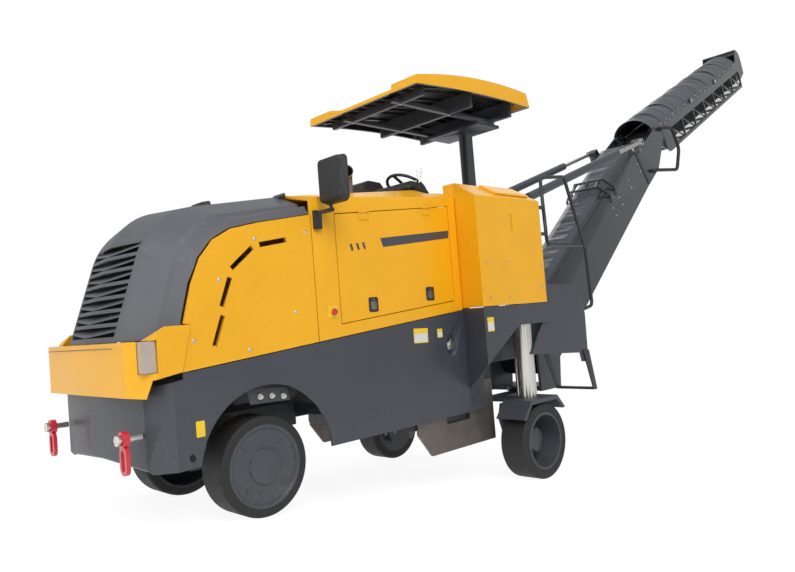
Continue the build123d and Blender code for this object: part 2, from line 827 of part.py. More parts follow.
def body_block(shrink):
    """Solid form of the yellow upper body through its two end sections, drawn in by shrink."""
    with BuildPart() as block:
        for section_x, side_z, flat_z in deck_sections:
            with BuildSketch(cross_plane(section_x)):
                with BuildLine():
                    Polyline(
                        (-chassis_half_width + shrink, 900),
                        (-chassis_half_width + shrink, side_z - shrink),
                        (-deck_flat_y, flat_z - shrink),
                        (deck_flat_y, flat_z - shrink),
                        (chassis_half_width - shrink, side_z - shrink),
                        (chassis_half_width - shrink, 900),
                        close=True,
                    )
                make_face()
        loft(ruled=True)
    return block.part


def door_outline(gap):
    """Door outline as (x, z), drawn in by a gap."""
    return [
        (door_front_x - gap, division_z(door_front_x) + door_above_division + gap),
        (door_front_x - gap, door_top_front_z - gap),
        (door_rear_x + gap, door_top_rear_z - gap),
        (door_rear_x + gap, division_z(door_rear_x) + door_above_division + gap),
    ]


door_hinge_places = (-950, -1650)


def door_top_z(x):
    """Height of the door opening's upper edge."""
    return line_z((door_front_x, door_top_front_z), (door_rear_x, door_top_rear_z), x)


def door_hinge_plane(x, side):
    """Plane square to a side door's hinge line."""
    return Plane(
        origin=(x, side * (chassis_half_width + door_hinge_out), door_top_z(x)),
        x_dir=(0, 1, 0),
        z_dir=(door_front_x - door_rear_x, 0, door_top_front_z - door_top_rear_z),
    )


body_outside = body_block(0)
body_inside = body_block(body_wall)
with BuildPart() as well_wall:
    add(body_outside)
    with Locations((well_front_x + body_wall / 2, 0, division_rear[1] + 1000)):
        Box(body_wall, 2 * (chassis_half_width - body_wall - panel_gap), 2000, mode=Mode.INTERSECT)
with BuildPart() as body_shell:
    add(body_outside)
    add(body_inside, mode=Mode.SUBTRACT)
    with BuildSketch(side_plane(0)):
        with BuildLine():
            Polyline(
                (body_front_x + 5, division_z(body_front_x)),
                (body_rear_x - 5, division_z(body_rear_x)),
                (body_rear_x - 5, 0),
                (body_front_x + 5, 0),
                close=True,
            )
        make_face()
    extrude(amount=1000, both=True, mode=Mode.SUBTRACT)
    with BuildSketch(side_plane(0)):
        with BuildLine():
            Polyline(*door_outline(0), close=True)
        make_face()
    extrude(amount=1000, both=True, mode=Mode.SUBTRACT)
    # operator's well is open above, with a wall ahead of it
    with Locations(((body_rear_x + well_front_x) / 2 - 50, 0, 2000)):
        Box(well_front_x - body_rear_x + 100, 2 * well_half_width, 1600, mode=Mode.SUBTRACT)
    add(well_wall.part)
write_piece(body_shell.part, "body_shell")

for side_name, side in (("left", 1), ("right", -1)):
    with BuildPart() as side_door:
        with BuildSketch(side_plane(side * chassis_half_width)):
            with BuildLine():
                Polyline(*door_outline(panel_gap), close=True)
            make_face()
        extrude(amount=side * body_wall)
        for hinge_x in door_hinge_places:
            with BuildSketch(door_hinge_plane(hinge_x, side)):
                Circle(door_hinge_radius)
            extrude(amount=55, both=True)
            with BuildSketch(side_plane(side * (chassis_half_width + 6))):
                with Locations((hinge_x, door_top_z(hinge_x) - 33)):
                    Rectangle(100, 58)
            extrude(amount=side * 6)
    write_piece(side_door.part, f"side_door_{side_name}")

# tanks beside the operator, each with a bore for the lifting column's travel
for side_name, side in (("left", 1), ("right", -1)):
    with BuildPart() as tank:
        with BuildSketch(Plane.XY.offset(tank_bottom_z)):
            with BuildLine():
                Polyline(
                    (body_rear_x - panel_gap, side * tank_inner_y),
                    (body_rear_x - panel_gap, side * (chassis_half_width - 2)),
                    (flare_rear_x, side * overhang_half_width),
                    (tank_rear_x, side * overhang_half_width),
                    (tank_rear_x, side * tank_inner_y),
                    close=True,
                )
            make_face()
        extrude(amount=tank_top_z - tank_bottom_z)
        with BuildSketch(cross_plane(tank_rear_x - 10)):
            with BuildLine():
                Polyline(
                    (side * overhang_half_width, tank_side_z),
                    (side * tank_slope_y, tank_top_z),
                    (side * (overhang_half_width + 50), tank_top_z + 1),
                    (side * (overhang_half_width + 50), tank_side_z),
                    close=True,
                )
            make_face()
        extrude(amount=1200, mode=Mode.SUBTRACT)
        with BuildSketch(Plane.XY.offset(tank_bottom_z)):
            with Locations((rear_axle_x, side * sleeve_y)):
                Circle(column_radius + moving_gap)
        extrude(amount=column_top_z + 330 - tank_bottom_z, mode=Mode.SUBTRACT)
        # level slot in the outer face
        with BuildSketch(side_plane(side * overhang_half_width, tank_slot_x, tank_slot_z)):
            RectangleRounded(tank_slot_width, tank_slot_height, tank_slot_width / 2 - 1)
        extrude(amount=side * 20, mode=Mode.SUBTRACT)
    write_piece(tank.part, f"tank_{side_name}")
    # lid on the slope, hinged along its lower edge
    lid_plane = Plane(
        origin=(lid_x, side * lid_hinge_y, lid_hinge_z), x_dir=(1, 0, 0), z_dir=(0, side * slope_sin, slope_cos)
    )
    with BuildPart() as tank_lid:
        with BuildSketch(lid_plane):
            with Locations((0, -side * lid_width / 2)):
                Rectangle(lid_length, lid_width)
        extrude(amount=lid_hinge_radius, both=True)
        with BuildSketch(cross_plane(lid_x)):
            with Locations((side * lid_hinge_y, lid_hinge_z)):
                Circle(lid_hinge_radius)
        extrude(amount=lid_length / 2, both=True)
    write_piece(tank_lid.part, f"tank_lid_{side_name}")

# =================================================================================================
# operator's place
# =================================================================================================
with BuildPart() as operator_floor:
    with Locations(((well_front_x + rear_wall_x) / 2 - 2, 0, floor_z - floor_thickness / 2)):
        Box(well_front_x - rear_wall_x - 20, 2 * well_half_width, floor_thickness)
write_piece(operator_floor.part, "operator_floor")

with BuildPart() as operator_seat:
    with Locations((seat_x, 0, floor_z + 150)):
        Box(260, 260, 300)
    with Locations((seat_x, 0, floor_z + 350)):
        Box(480, 480, 100)
    with Locations((seat_x - 230, 0, floor_z + 640)):
        Box(90, 440, 520)
write_piece(operator_seat.part, "operator_seat")

with BuildPart() as control_console:
    # desk over the deck's rear edge, with a taller instrument box on its right
    console_parts = [  # y from, y to, height of the top
        (-430, 430, 2425),
        (-430, -120, console_top_z),
    ]
    for y_from, y_to, top_z in console_parts:
        with BuildSketch(side_plane(y_to)):
            with BuildLine():
                Polyline(
                    (well_front_x - 4, 1900),
                    (well_front_x - 4, deck_z(well_front_x) + 4),
                    (well_front_x + 100, deck_z(well_front_x) + 4),
                    (well_front_x + 70, top_z - 30),
                    (well_front_x, top_z),
                    (well_front_x - 150, top_z - 10),
                    (well_front_x - 225, top_z - 90),
                    (well_front_x - 170, 1900),
                    close=True,
                )
            make_face()
        extrude(amount=y_to - y_from)
    # steering wheel on its column
    wheel_place = Location((steering_x, steering_y, steering_z), (0, -steering_tilt, 0))
    with Locations(wheel_place):
        Torus(185, 14)
        Cylinder(40, 30)
        Box(360, 30, 12)
        Box(30, 360, 12)
    with Locations(wheel_place * Location((0, 0, -130))):
        Cylinder(26, 260)
write_piece(control_console.part, "control_console")

exhaust_base_z = deck_z(exhaust_x - exhaust_radius) + 2
exhaust_top_z = exhaust_base_z + exhaust_height
with BuildPart() as exhaust_pipe:
    with BuildLine() as exhaust_route:
        FilletPolyline(
            (exhaust_x, exhaust_y, exhaust_base_z),
            (exhaust_x, exhaust_y, exhaust_top_z),
            (exhaust_x + 70, exhaust_y + 100, exhaust_top_z + 10),
            radius=60,
        )
    with BuildSketch(Plane(origin=(exhaust_x, exhaust_y, exhaust_base_z))):
        Circle(exhaust_radius)
        Circle(exhaust_radius - 5, mode=Mode.SUBTRACT)
    sweep()
write_piece(exhaust_pipe.part, "exhaust_pipe")

with BuildPart() as canopy_post:
    with Locations((post_x, 0, (floor_z + post_top_z) / 2)):
        Box(post_depth, post_width, post_top_z - floor_z)
        Box(post_depth - 2 * post_wall, post_width - 2 * post_wall, post_top_z - floor_z, mode=Mode.SUBTRACT)
    with Locations((post_x, 0, floor_z + 10)):
        Box(post_depth + 80, post_width + 120, 20)
write_piece(canopy_post.part, "canopy_post")

def canopy_arc_z(x, crest_z, radius):
    """Height at x of one of the canopy's side arcs."""
    return crest_z - radius + (radius**2 - (x - canopy_crest_x) ** 2) ** 0.5


canopy_rail_top = canopy_frame_z + canopy_rail_height
canopy_beams = [-1900, -2560, -3180]
with BuildPart() as canopy_mast:
    mast_bottom_z = floor_z + 20 + canopy_travel + moving_gap
    with Locations((post_x, 0, (mast_bottom_z + canopy_frame_z) / 2)):
        Box(mast_depth, mast_width, canopy_frame_z - mast_bottom_z)
    with Locations((post_x + 40, 0, canopy_frame_z - 15)):
        Box(360, 700, 30)
    # guide rod behind the post
    with Locations((canopy_rod_x, 0, (mast_bottom_z + canopy_frame_z) / 2 - 15)):
        Cylinder(canopy_rod_radius, canopy_frame_z - mast_bottom_z - 20)
    for side in (1, -1):
        with Locations(((canopy_front_x + canopy_rear_x) / 2, side * 330, canopy_frame_z + canopy_rail_height / 2)):
            Box(canopy_front_x - canopy_rear_x - 200, 50, canopy_rail_height)
    for beam_x in canopy_beams:
        beam_top = canopy_arc_z(beam_x, canopy_crest_z - canopy_depth, canopy_top_radius) - 6
        with Locations((beam_x, 0, (canopy_frame_z + beam_top) / 2)):
            Box(40, 1240, beam_top - canopy_frame_z)
write_piece(canopy_mast.part, "canopy_mast")


def canopy_block(inset, drop, hem_z):
    """Solid between the canopy's top arc and its hem arc, drawn in and lowered."""
    front_x = canopy_front_x - inset
    rear_x = canopy_rear_x + inset
    crest_z = canopy_crest_z - drop
    front_top = (front_x - 10, canopy_arc_z(front_x - 10, crest_z, canopy_top_radius))
    rear_top = (rear_x + 50, canopy_arc_z(rear_x + 50, crest_z, canopy_top_radius))
    front_hem = (front_x, canopy_arc_z(front_x, hem_z, canopy_hem_radius))
    rear_hem = (rear_x, canopy_arc_z(rear_x, hem_z, canopy_hem_radius))
    with BuildPart() as block:
        with BuildSketch(side_plane(0)):
            with BuildLine():
                ThreePointArc(front_top, (canopy_crest_x, crest_z), rear_top)
                Line(rear_top, rear_hem)
                ThreePointArc(rear_hem, (canopy_crest_x, hem_z), front_hem)
                Line(front_hem, front_top)
            make_face()
        extrude(amount=canopy_half_width - inset, both=True)
    return block.part


canopy_outside = canopy_block(0, 0, canopy_hem_z)
canopy_inside = canopy_block(canopy_wall, canopy_depth, canopy_hem_z - 120)
with BuildPart() as canopy_roof:
    add(canopy_outside)
    add(canopy_inside, mode=Mode.SUBTRACT)
    # flat middle between the raised side lobes
    channel_crest_z = canopy_crest_z - canopy_channel
    channel_front = (canopy_front_x + 20, canopy_arc_z(canopy_front_x + 20, channel_crest_z, canopy_top_radius))
    channel_rear = (canopy_rear_x - 20, canopy_arc_z(canopy_rear_x - 20, channel_crest_z, canopy_top_radius))
    with BuildSketch(side_plane(0)):
        with BuildLine():
            ThreePointArc(channel_front, (canopy_crest_x, channel_crest_z), channel_rear)
            Polyline(
                channel_rear,
                (canopy_rear_x - 20, canopy_crest_z + 50),
                (canopy_front_x + 20, canopy_crest_z + 50),
                channel_front,
            )
        make_face()
    extrude(amount=canopy_channel_half_width, both=True, mode=Mode.SUBTRACT)
write_piece(canopy_roof.part, "canopy_roof")

with BuildPart() as mirrors:
    for side in (1, -1):
        with Locations((-500, side * (chassis_half_width + 16), 1965)):
            Box(60, 30, 130)
        with Locations((-540, side * (chassis_half_width + 85), 2020)):
            Box(30, 120, 24)
        with Locations((-540, side * (chassis_half_width + 130), 2080)):
            Cylinder(12, 140)
        with BuildSketch(cross_plane(-570)):
            with Locations((side * (chassis_half_width + 172), 2225)):
                RectangleRounded(268, 330, 45)
        extrude(amount=62, taper=12)
write_piece(mirrors.part, "mirrors")

with BuildPart() as towing_rings:
    for side in (1, -1):
        with BuildSketch(cross_plane(ring_x)):
            with Locations((side * ring_y, ring_z)):
                Circle(48)
                Circle(22, mode=Mode.SUBTRACT)
        extrude(amount=36)
        with BuildSketch(cross_plane(ring_x + 6)):
            with Locations((side * ring_y, ring_z - 120)):
                RectangleRounded(96, 170, 46)
                RectangleRounded(48, 122, 22, mode=Mode.SUBTRACT)
        extrude(amount=24)
write_piece(towing_rings.part, "towing_rings")

with BuildPart() as ring_bolts:
    for side in (1, -1):
        with BuildSketch(cross_plane(front_plate_x - skin)):
            with Locations((side * ring_y, ring_z)):
                Circle(20)
        extrude(amount=ring_x + 36 - front_plate_x + skin + 2)
        with BuildSketch(cross_plane(ring_x + 38)):
            with Locations((side * ring_y, ring_z)):
                RegularPolygon(34, 6)
        extrude(amount=26)
write_piece(ring_bolts.part, "ring_bolts")

# rear rails, and at each rear corner a rung on two hanging arms
with BuildPart() as rails_and_steps:
    for side in (1, -1):
        rail_y = side * rail_side_y
        rail_routes = [  # corners (x, z), bend radius
            ([(-3540, 1150), (-3775, 1190), (-3736, 1763), (-3448, 2484), (-3025, 2438), (-3038, 2110)], 55),
            ([(-3038, 2110), (-3050, 1804), (-3725, 1802)], 55),
            ([(tank_rear_x - 2, 2150), (-3040, 2150)], 0),
            ([(tank_rear_x - 2, 1900), (-3046, 1900)], 0),
        ]
        for corners, bend_radius in rail_routes:
            with BuildLine() as rail_line:
                corner_points = [(x, rail_y, z) for x, z in corners]
                if bend_radius:
                    FilletPolyline(*corner_points, radius=bend_radius)
                else:
                    Line(*corner_points)
            with BuildSketch(Plane(origin=corner_points[0], z_dir=rail_line.line % 0)):
                Circle(rail_radius)
            sweep(path=rail_line.line)
        rung_x = step_panel_rear_x - 53
        step_arms = [  # y, top (x, z) ahead, top (x, z) behind
            (step_panel_y + skin + 8, (step_panel_rear_x + 110, 760), (step_panel_rear_x + 12, 760)),
            (step_inner_y, (rear_wall_x - 1, 880), (rear_wall_x - 40, 960)),
        ]
        for arm_y, ahead, behind in step_arms:
            with BuildSketch(side_plane(side * arm_y)):
                with BuildLine():
                    Polyline(
                        ahead, behind, (rung_x - 30, step_rung_z - 11), (rung_x + 28, step_rung_z - 11), close=True
                    )
                make_face()
            extrude(amount=8, both=True)
        rung_length = step_panel_y + skin + 8 - step_inner_y
        with Locations((rung_x, side * (step_inner_y + rung_length / 2), step_rung_z)):
            Box(56, rung_length, 22)
write_piece(rails_and_steps.part, "rails_and_steps")

# =================================================================================================
# milling gear
# =================================================================================================
with BuildPart() as drum_housing:
    with BuildSketch(side_plane(0)):
        with BuildLine():
            Polyline(
                (housing_front_x, housing_bottom_z),
                (housing_front_x, housing_top_z - 200),
                (housing_front_x - 180, housing_top_z),
                (housing_rear_x + 150, housing_top_z),
                (housing_rear_x, housing_top_z - 150),
                (housing_rear_x, housing_bottom_z),
                close=True,
            )
        make_face()
    extrude(amount=housing_half_width, both=True)
    with BuildSketch(side_plane(0)):
        with BuildLine():
            Polyline(
                (housing_front_x - housing_wall, housing_bottom_z - 5),
                (housing_front_x - housing_wall, housing_top_z - 208),
                (housing_front_x - 188, housing_top_z - housing_wall),
                (housing_rear_x + 158, housing_top_z - housing_wall),
                (housing_rear_x + housing_wall, housing_top_z - 158),
                (housing_rear_x + housing_wall, housing_bottom_z - 5),
                close=True,
            )
        make_face()
    extrude(amount=housing_half_width - housing_wall, both=True, mode=Mode.SUBTRACT)
    # rear window for the scraper and the intake conveyor
    with Locations((housing_rear_x, 0, housing_bottom_z + 200)):
        Box(100, 2 * (housing_half_width - housing_wall - 5), 500, mode=Mode.SUBTRACT)
    # bearings of the drum
    for side in (1, -1):
        with BuildSketch(side_plane(side * housing_half_width, drum_x, drum_z)):
            Circle(drum_hub_radius + pin_gap)
        extrude(amount=side * (housing_wall + 5), mode=Mode.SUBTRACT)
write_piece(drum_housing.part, "drum_housing")

with BuildPart() as milling_drum:
    with BuildSketch(side_plane(0, drum_x, drum_z)):
        Circle(drum_tube_radius)
        Circle(drum_tube_radius - 30, mode=Mode.SUBTRACT)
    extrude(amount=drum_half_width, both=True)
    with BuildSketch(side_plane(drum_half_width - 60, drum_x, drum_z)):
        Circle(drum_tube_radius - 10)
    extrude(amount=-30)
    with BuildSketch(side_plane(-drum_half_width + 60, drum_x, drum_z)):
        Circle(drum_tube_radius - 10)
    extrude(amount=30)
    with BuildSketch(side_plane(0, drum_x, drum_z)):
        Circle(drum_hub_radius)
    extrude(amount=housing_half_width - 2, both=True)
    # picks in two helices that feed to the middle
    for pick in range(pick_rows):
        pick_y = drum_half_width - 30 - pick * (drum_half_width - 30) / pick_rows
        for side in (1, -1):
            for start in (0, 120, 240):
                turn = start + side * 40 + pick * pick_step_angle
                pick_plane = Plane(
                    origin=(
                        drum_x + (drum_tube_radius - 8) * cos(radians(turn)),
                        side * pick_y,
                        drum_z + (drum_tube_radius - 8) * sin(radians(turn)),
                    ),
                    x_dir=(0, 1, 0),
                    z_dir=(cos(radians(turn)), 0, sin(radians(turn))),
                )
                with BuildSketch(pick_plane):
                    Rectangle(40, 50)
                extrude(amount=drum_pick_radius - drum_tube_radius + 8, taper=10)
write_piece(milling_drum.part, "milling_drum")

for side_name, side in (("left", 1), ("right", -1)):
    with BuildPart() as edge_plate:
        with BuildSketch(side_plane(side * (housing_half_width + moving_gap))):
            with BuildLine():
                Polyline(
                    (housing_front_x - 30, edge_plate_bottom_z + 190),
                    (housing_front_x - 175, edge_plate_bottom_z),
                    (housing_rear_x + 30, edge_plate_bottom_z),
                    (housing_rear_x + 30, 620),
                    (housing_front_x - 30, 620),
                    close=True,
                )
            make_face()
            with Locations((drum_x, drum_z + 20)):
                Rectangle(300, 540, mode=Mode.SUBTRACT)
        extrude(amount=-side * edge_plate_thickness)
    write_piece(edge_plate.part, f"edge_plate_{side_name}")

with BuildPart() as rear_scraper:
    with BuildSketch(cross_plane(scraper_x)):
        with BuildLine():
            Polyline(
                (-scraper_half_width, 110),
                (-scraper_half_width, scraper_hinge_z),
                (scraper_half_width, scraper_hinge_z),
                (scraper_half_width, 110),
                (intake_half_width + 20, 110),
                (intake_half_width + 20, 610),
                (-intake_half_width - 20, 610),
                (-intake_half_width - 20, 110),
                close=True,
            )
        make_face()
    extrude(amount=-18)
    with BuildSketch(side_plane(0, scraper_x - 9, scraper_hinge_z)):
        Circle(22)
    extrude(amount=scraper_half_width, both=True)
write_piece(rear_scraper.part, "rear_scraper")

with BuildPart() as intake_conveyor:
    with BuildSketch(side_plane(0)):
        with BuildLine():
            Polyline(
                (housing_rear_x + 90, 205),
                (housing_rear_x + 10, 440),
                (intake_end_x, 1170),
                (intake_end_x, 950),
                (intake_end_x + 120, 850),
                (housing_rear_x + 60, 190),
                close=True,
            )
        make_face()
    extrude(amount=intake_half_width, both=True)
write_piece(intake_conveyor.part, "intake_conveyor")

# =================================================================================================
# discharge conveyor
# =================================================================================================
turret_plate_y = conveyor_half_width + 14
turret_plate = 30

with BuildPart() as slewing_turret:
    # lower bearing and cross plate
    with Locations((slew_x, 0, turret_low_z + arm_thickness + moving_gap + 24)):
        Cylinder(130, 48)
    with Locations((slew_x, 0, turret_low_z + arm_thickness / 2 + moving_gap)):
        Cylinder(slew_pin_radius, arm_thickness + 2 * moving_gap)
    with Locations((slew_x - 140, 0, turret_low_z + arm_thickness + moving_gap + 24)):
        Box(360, 2 * (turret_plate_y + turret_plate), 48)
    # upper bearing and cross plate
    with Locations((slew_x, 0, turret_high_z - moving_gap - 30)):
        Box(240, 2 * (turret_plate_y + turret_plate), 60)
    with Locations((slew_x, 0, turret_high_z + arm_thickness / 2 - moving_gap)):
        Cylinder(slew_pin_radius, arm_thickness + 2 * moving_gap)
    for side in (1, -1):
        with BuildSketch(side_plane(side * turret_plate_y)):
            with BuildLine():
                Polyline(
                    (slew_x + 60, turret_low_z + arm_thickness + moving_gap),
                    (slew_x - 320, turret_low_z + arm_thickness + moving_gap),
                    (luff_pivot_x - 110, luff_pivot_z - 90),
                    (luff_pivot_x - 90, luff_pivot_z + 90),
                    (slew_x - 110, turret_high_z - 40),
                    (slew_x - 60, cylinder_foot_z - 120),
                    (cylinder_foot_x - 55, cylinder_foot_z + 50),
                    (cylinder_foot_x + 45, cylinder_foot_z + 50),
                    (cylinder_foot_x + 50, cylinder_foot_z - 60),
                    (slew_x + 70, cylinder_foot_z - 330),
                    (slew_x + 60, turret_high_z - 60),
                    (slew_x + 90, luff_pivot_z + 100),
                    close=True,
                )
            make_face()
            with Locations(luff_pivot):
                Circle(45 + pin_gap, mode=Mode.SUBTRACT)
        extrude(amount=-side * turret_plate)
        with BuildSketch(side_plane(side * (turret_plate_y + turret_plate - 2), cylinder_foot_x, cylinder_foot_z)):
            Circle(24)
        extrude(amount=-side * (cylinder_y + 40 - turret_plate_y - turret_plate + 2))
    with BuildSketch(side_plane(0, slew_x, cylinder_foot_z - 180)):
        Circle(34)
    extrude(amount=turret_plate_y + 5, both=True)
write_piece(slewing_turret.part, "slewing_turret")

lower_section = [  # right, up from the axis: outline of the lower conveyor's box
    (-conveyor_half_width, -lower_below),
    (-conveyor_half_width, lower_above),
    (-conveyor_half_width + lower_chamfer, lower_above + lower_chamfer),
    (conveyor_half_width - lower_chamfer, lower_above + lower_chamfer),
    (conveyor_half_width, lower_above),
    (conveyor_half_width, -lower_below),
]
with BuildPart() as conveyor_lower:
    with BuildSketch(boom_section(luff_pivot, lower_angle, -foot_overhang)):
        with BuildLine():
            Polyline(*lower_section, close=True)
        make_face()
        offset(amount=-conveyor_skin, mode=Mode.SUBTRACT)
    extrude(amount=foot_overhang + 3900)
    # oblique upper end
    with BuildSketch(boom_plane(luff_pivot, lower_angle)):
        with BuildLine():
            Polyline((3690, -400), (3450, 400), (4600, 400), (4600, -400), close=True)
        make_face()
    extrude(amount=1000, both=True, mode=Mode.SUBTRACT)
    # hopper opening over the foot
    with BuildSketch(boom_plane(luff_pivot, lower_angle)):
        with BuildLine():
            Polyline((-foot_overhang - 5, 60), (20, 340), (-foot_overhang - 5, 340), close=True)
        make_face()
    extrude(amount=1000, both=True, mode=Mode.SUBTRACT)
    for side in (1, -1):
        # pivot pins, fold cheeks with their pins, and lugs for the lift cylinders' rods
        with BuildSketch(boom_plane(luff_pivot, lower_angle, side * (conveyor_half_width - 5))):
            Circle(45)
        extrude(amount=side * 60)
        with BuildSketch(boom_plane(luff_pivot, lower_angle, side * conveyor_half_width)):
            with BuildLine():
                Polyline(
                    (3380, 190), (3380, -330), (3800, -345), (4330, -120), (4330, 60), (4180, 130), close=True
                )
            make_face()
        extrude(amount=side * fold_cheek)
        with BuildSketch(boom_plane(luff_pivot, lower_angle, side * (conveyor_half_width + fold_cheek))):
            with Locations((fold_distance, fold_offset)):
                Circle(46)
        extrude(amount=-side * (fold_cheek + 40))
        with BuildSketch(boom_plane(luff_pivot, lower_angle, side * (conveyor_half_width - 30))):
            with BuildLine():
                Polyline(
                    (rod_eye_s - 90, 190),
                    (rod_eye_s - 50, rod_eye_up + 40),
                    (rod_eye_s + 40, rod_eye_up + 40),
                    (rod_eye_s + 70, 190),
                    close=True,
                )
            make_face()
        extrude(amount=side * 102)
    # two hoops over the top with ties between them
    hoop_rise = lower_above + lower_chamfer + 75
    for hoop_s in hoop_places:
        with BuildSketch(boom_section(luff_pivot, lower_angle, hoop_s - hoop_size / 2)):
            with BuildLine():
                Polyline(
                    (-conveyor_half_width - hoop_size, lower_above - 90),
                    (-conveyor_half_width - hoop_size, lower_above + 40),
                    (-conveyor_half_width + lower_chamfer, hoop_rise + hoop_size),
                    (conveyor_half_width - lower_chamfer, hoop_rise + hoop_size),
                    (conveyor_half_width + hoop_size, lower_above + 40),
                    (conveyor_half_width + hoop_size, lower_above - 90),
                    (conveyor_half_width, lower_above - 90),
                    (conveyor_half_width, lower_above + 34),
                    (conveyor_half_width - lower_chamfer - 10, hoop_rise),
                    (-conveyor_half_width + lower_chamfer + 10, hoop_rise),
                    (-conveyor_half_width, lower_above + 34),
                    (-conveyor_half_width, lower_above - 90),
                    close=True,
                )
            make_face()
        extrude(amount=hoop_size)
    for tie_y in (-170, 0, 170):
        with BuildSketch(boom_plane(luff_pivot, lower_angle, tie_y)):
            with Locations(((hoop_places[0] + hoop_places[1]) / 2, hoop_rise + hoop_size / 2)):
                Rectangle(hoop_places[1] - hoop_places[0], hoop_size - 4)
        extrude(amount=14, both=True)
write_piece(conveyor_lower.part, "conveyor_lower")

# bundle of hoses that loops past the fold on the left
with BuildPart() as fold_hoses:
    fold_hose_y = conveyor_half_width + fold_cheek
    fold_hose_route = [  # along and above the lower conveyor's axis, outward of the cheek
        (3560, -230, 0),
        (3560, -230, 62),
        (3860, -425, 62),
        (4191, -640, 62),
        (4514, -464, 62),
        (4545, -120, 62),
        (4290, 40, 62),
        (4290, 40, 0),
    ]
    hose_points = []
    for along, up, out in fold_hose_route:
        hose_x, hose_z = on_lower(along, up)
        hose_points.append((hose_x, fold_hose_y + out, hose_z))
    with BuildLine() as hose_line:
        FilletPolyline(*hose_points, radius=[48, 50, 110, 150, 110, 50])
    with BuildSketch(Plane(origin=hose_points[0], z_dir=(0, 1, 0))):
        Circle(fold_hose_radius)
    sweep(path=hose_line.line)
write_piece(fold_hoses.part, "fold_hoses")

with BuildPart() as lower_cover:
    cover_up = lower_above + lower_chamfer + 1
    with BuildSketch(boom_section(luff_pivot, lower_angle, 60)):
        with BuildLine():
            Polyline(
                (-conveyor_half_width + lower_chamfer + 5, cover_up),
                (-120, cover_up + 34),
                (120, cover_up + 34),
                (conveyor_half_width - lower_chamfer - 5, cover_up),
                close=True,
            )
        make_face()
    extrude(amount=3360)
write_piece(lower_cover.part, "lower_cover")

with BuildPart() as conveyor_upper:
    for side in (1, -1):
        # chords, cheek round the fold pin, side band
        upper_chords = [  # start, end, up, height, width
            (-180, upper_length - 120, 110, 60, 50),
            (330, upper_length - 260, -345, 46, 40),
        ]
        for start, end, up, height, width in upper_chords:
            with BuildSketch(boom_plane(fold_pin, upper_angle, side * (upper_half_width - width))):
                with Locations(((start + end) / 2, up)):
                    Rectangle(end - start, height)
            extrude(amount=side * width)
        with BuildSketch(boom_plane(fold_pin, upper_angle, side * upper_half_width)):
            with BuildLine():
                Polyline(
                    (-150, 130), (-150, -60), (-60, -150), (330, -368), (520, -368), (600, 60), (600, 130),
                    close=True,
                )
            make_face()
            Circle(46 + pin_gap, mode=Mode.SUBTRACT)
        extrude(amount=-side * 16)
        with BuildSketch(boom_plane(fold_pin, upper_angle, side * upper_half_width)):
            with Locations(((upper_length + 380) / 2, 20)):
                Rectangle(upper_length - 580, 150)
        extrude(amount=-side * 12)
        # posts and diagonals
        bay = (upper_length - 760) / truss_bays
        for post in range(truss_bays):
            with BuildSketch(boom_plane(fold_pin, upper_angle, side * (upper_half_width - 4))):
                with BuildLine():
                    bay_start = 500 + post * bay
                    Polyline(
                        (bay_start - 10, -45), (bay_start + 22, -45), (bay_start + bay + 10, -340),
                        (bay_start + bay - 22, -340), close=True,
                    )
                make_face()
            extrude(amount=-side * 22)
        for post in range(truss_bays + 1):
            with BuildSketch(boom_plane(fold_pin, upper_angle, side * upper_half_width)):
                with Locations((500 + post * bay, -150)):
                    Rectangle(30, 390)
            extrude(amount=-side * 30)
        # brackets of the tail and head pulleys
    for pulley_s in (pulley_tail_s, pulley_head_s):
        with BuildSketch(boom_plane(fold_pin, upper_angle)):
            with Locations((pulley_s, pulley_up)):
                Circle(pulley_radius)
        extrude(amount=belt_half_width, both=True)
        with BuildSketch(boom_plane(fold_pin, upper_angle)):
            with Locations((pulley_s, pulley_up)):
                Circle(30)
        extrude(amount=upper_half_width - 2, both=True)
    for post in range(truss_bays + 1):
        with BuildSketch(boom_plane(fold_pin, upper_angle)):
            with Locations((500 + post * bay, -345)):
                Rectangle(36, 36)
        extrude(amount=upper_half_width - 5, both=True)
    # spill guard round the tip
    with BuildSketch(boom_plane(fold_pin, upper_angle)):
        with BuildLine():
            Polyline((upper_length - 2, 90), (upper_length - 2, -160), (upper_length - 16, -160), (upper_length - 16, 90))
            ThreePointArc((upper_length - 16, 90), (upper_length - 76, 247), (upper_length - 220, 324))
            Line((upper_length - 220, 324), (upper_length - 216, 338))
            ThreePointArc((upper_length - 216, 338), (upper_length - 66, 257), (upper_length - 2, 90))
        make_face()
    extrude(amount=upper_half_width, both=True)
    for side in (1, -1):
        with BuildSketch(boom_plane(fold_pin, upper_angle, side * upper_half_width)):
            with BuildLine():
                ThreePointArc((upper_length - 8, 90), (upper_length - 70, 251), (upper_length - 218, 331))
                Polyline(
                    (upper_length - 218, 331),
                    (upper_length - 330, 135),
                    (upper_length - 260, -230),
                    (upper_length - 8, -160),
                    (upper_length - 8, 90),
                )
            make_face()
        extrude(amount=-side * 10)
write_piece(conveyor_upper.part, "conveyor_upper")

with BuildPart() as upper_belt:
    with BuildSketch(boom_plane(fold_pin, upper_angle)):
        with Locations(((pulley_tail_s + pulley_head_s) / 2, pulley_up)):
            SlotCenterToCenter(pulley_head_s - pulley_tail_s, 2 * (pulley_radius + belt_thickness))
            SlotCenterToCenter(pulley_head_s - pulley_tail_s, 2 * pulley_radius + 0.6, mode=Mode.SUBTRACT)
    extrude(amount=belt_half_width, both=True)
write_piece(upper_belt.part, "upper_belt")

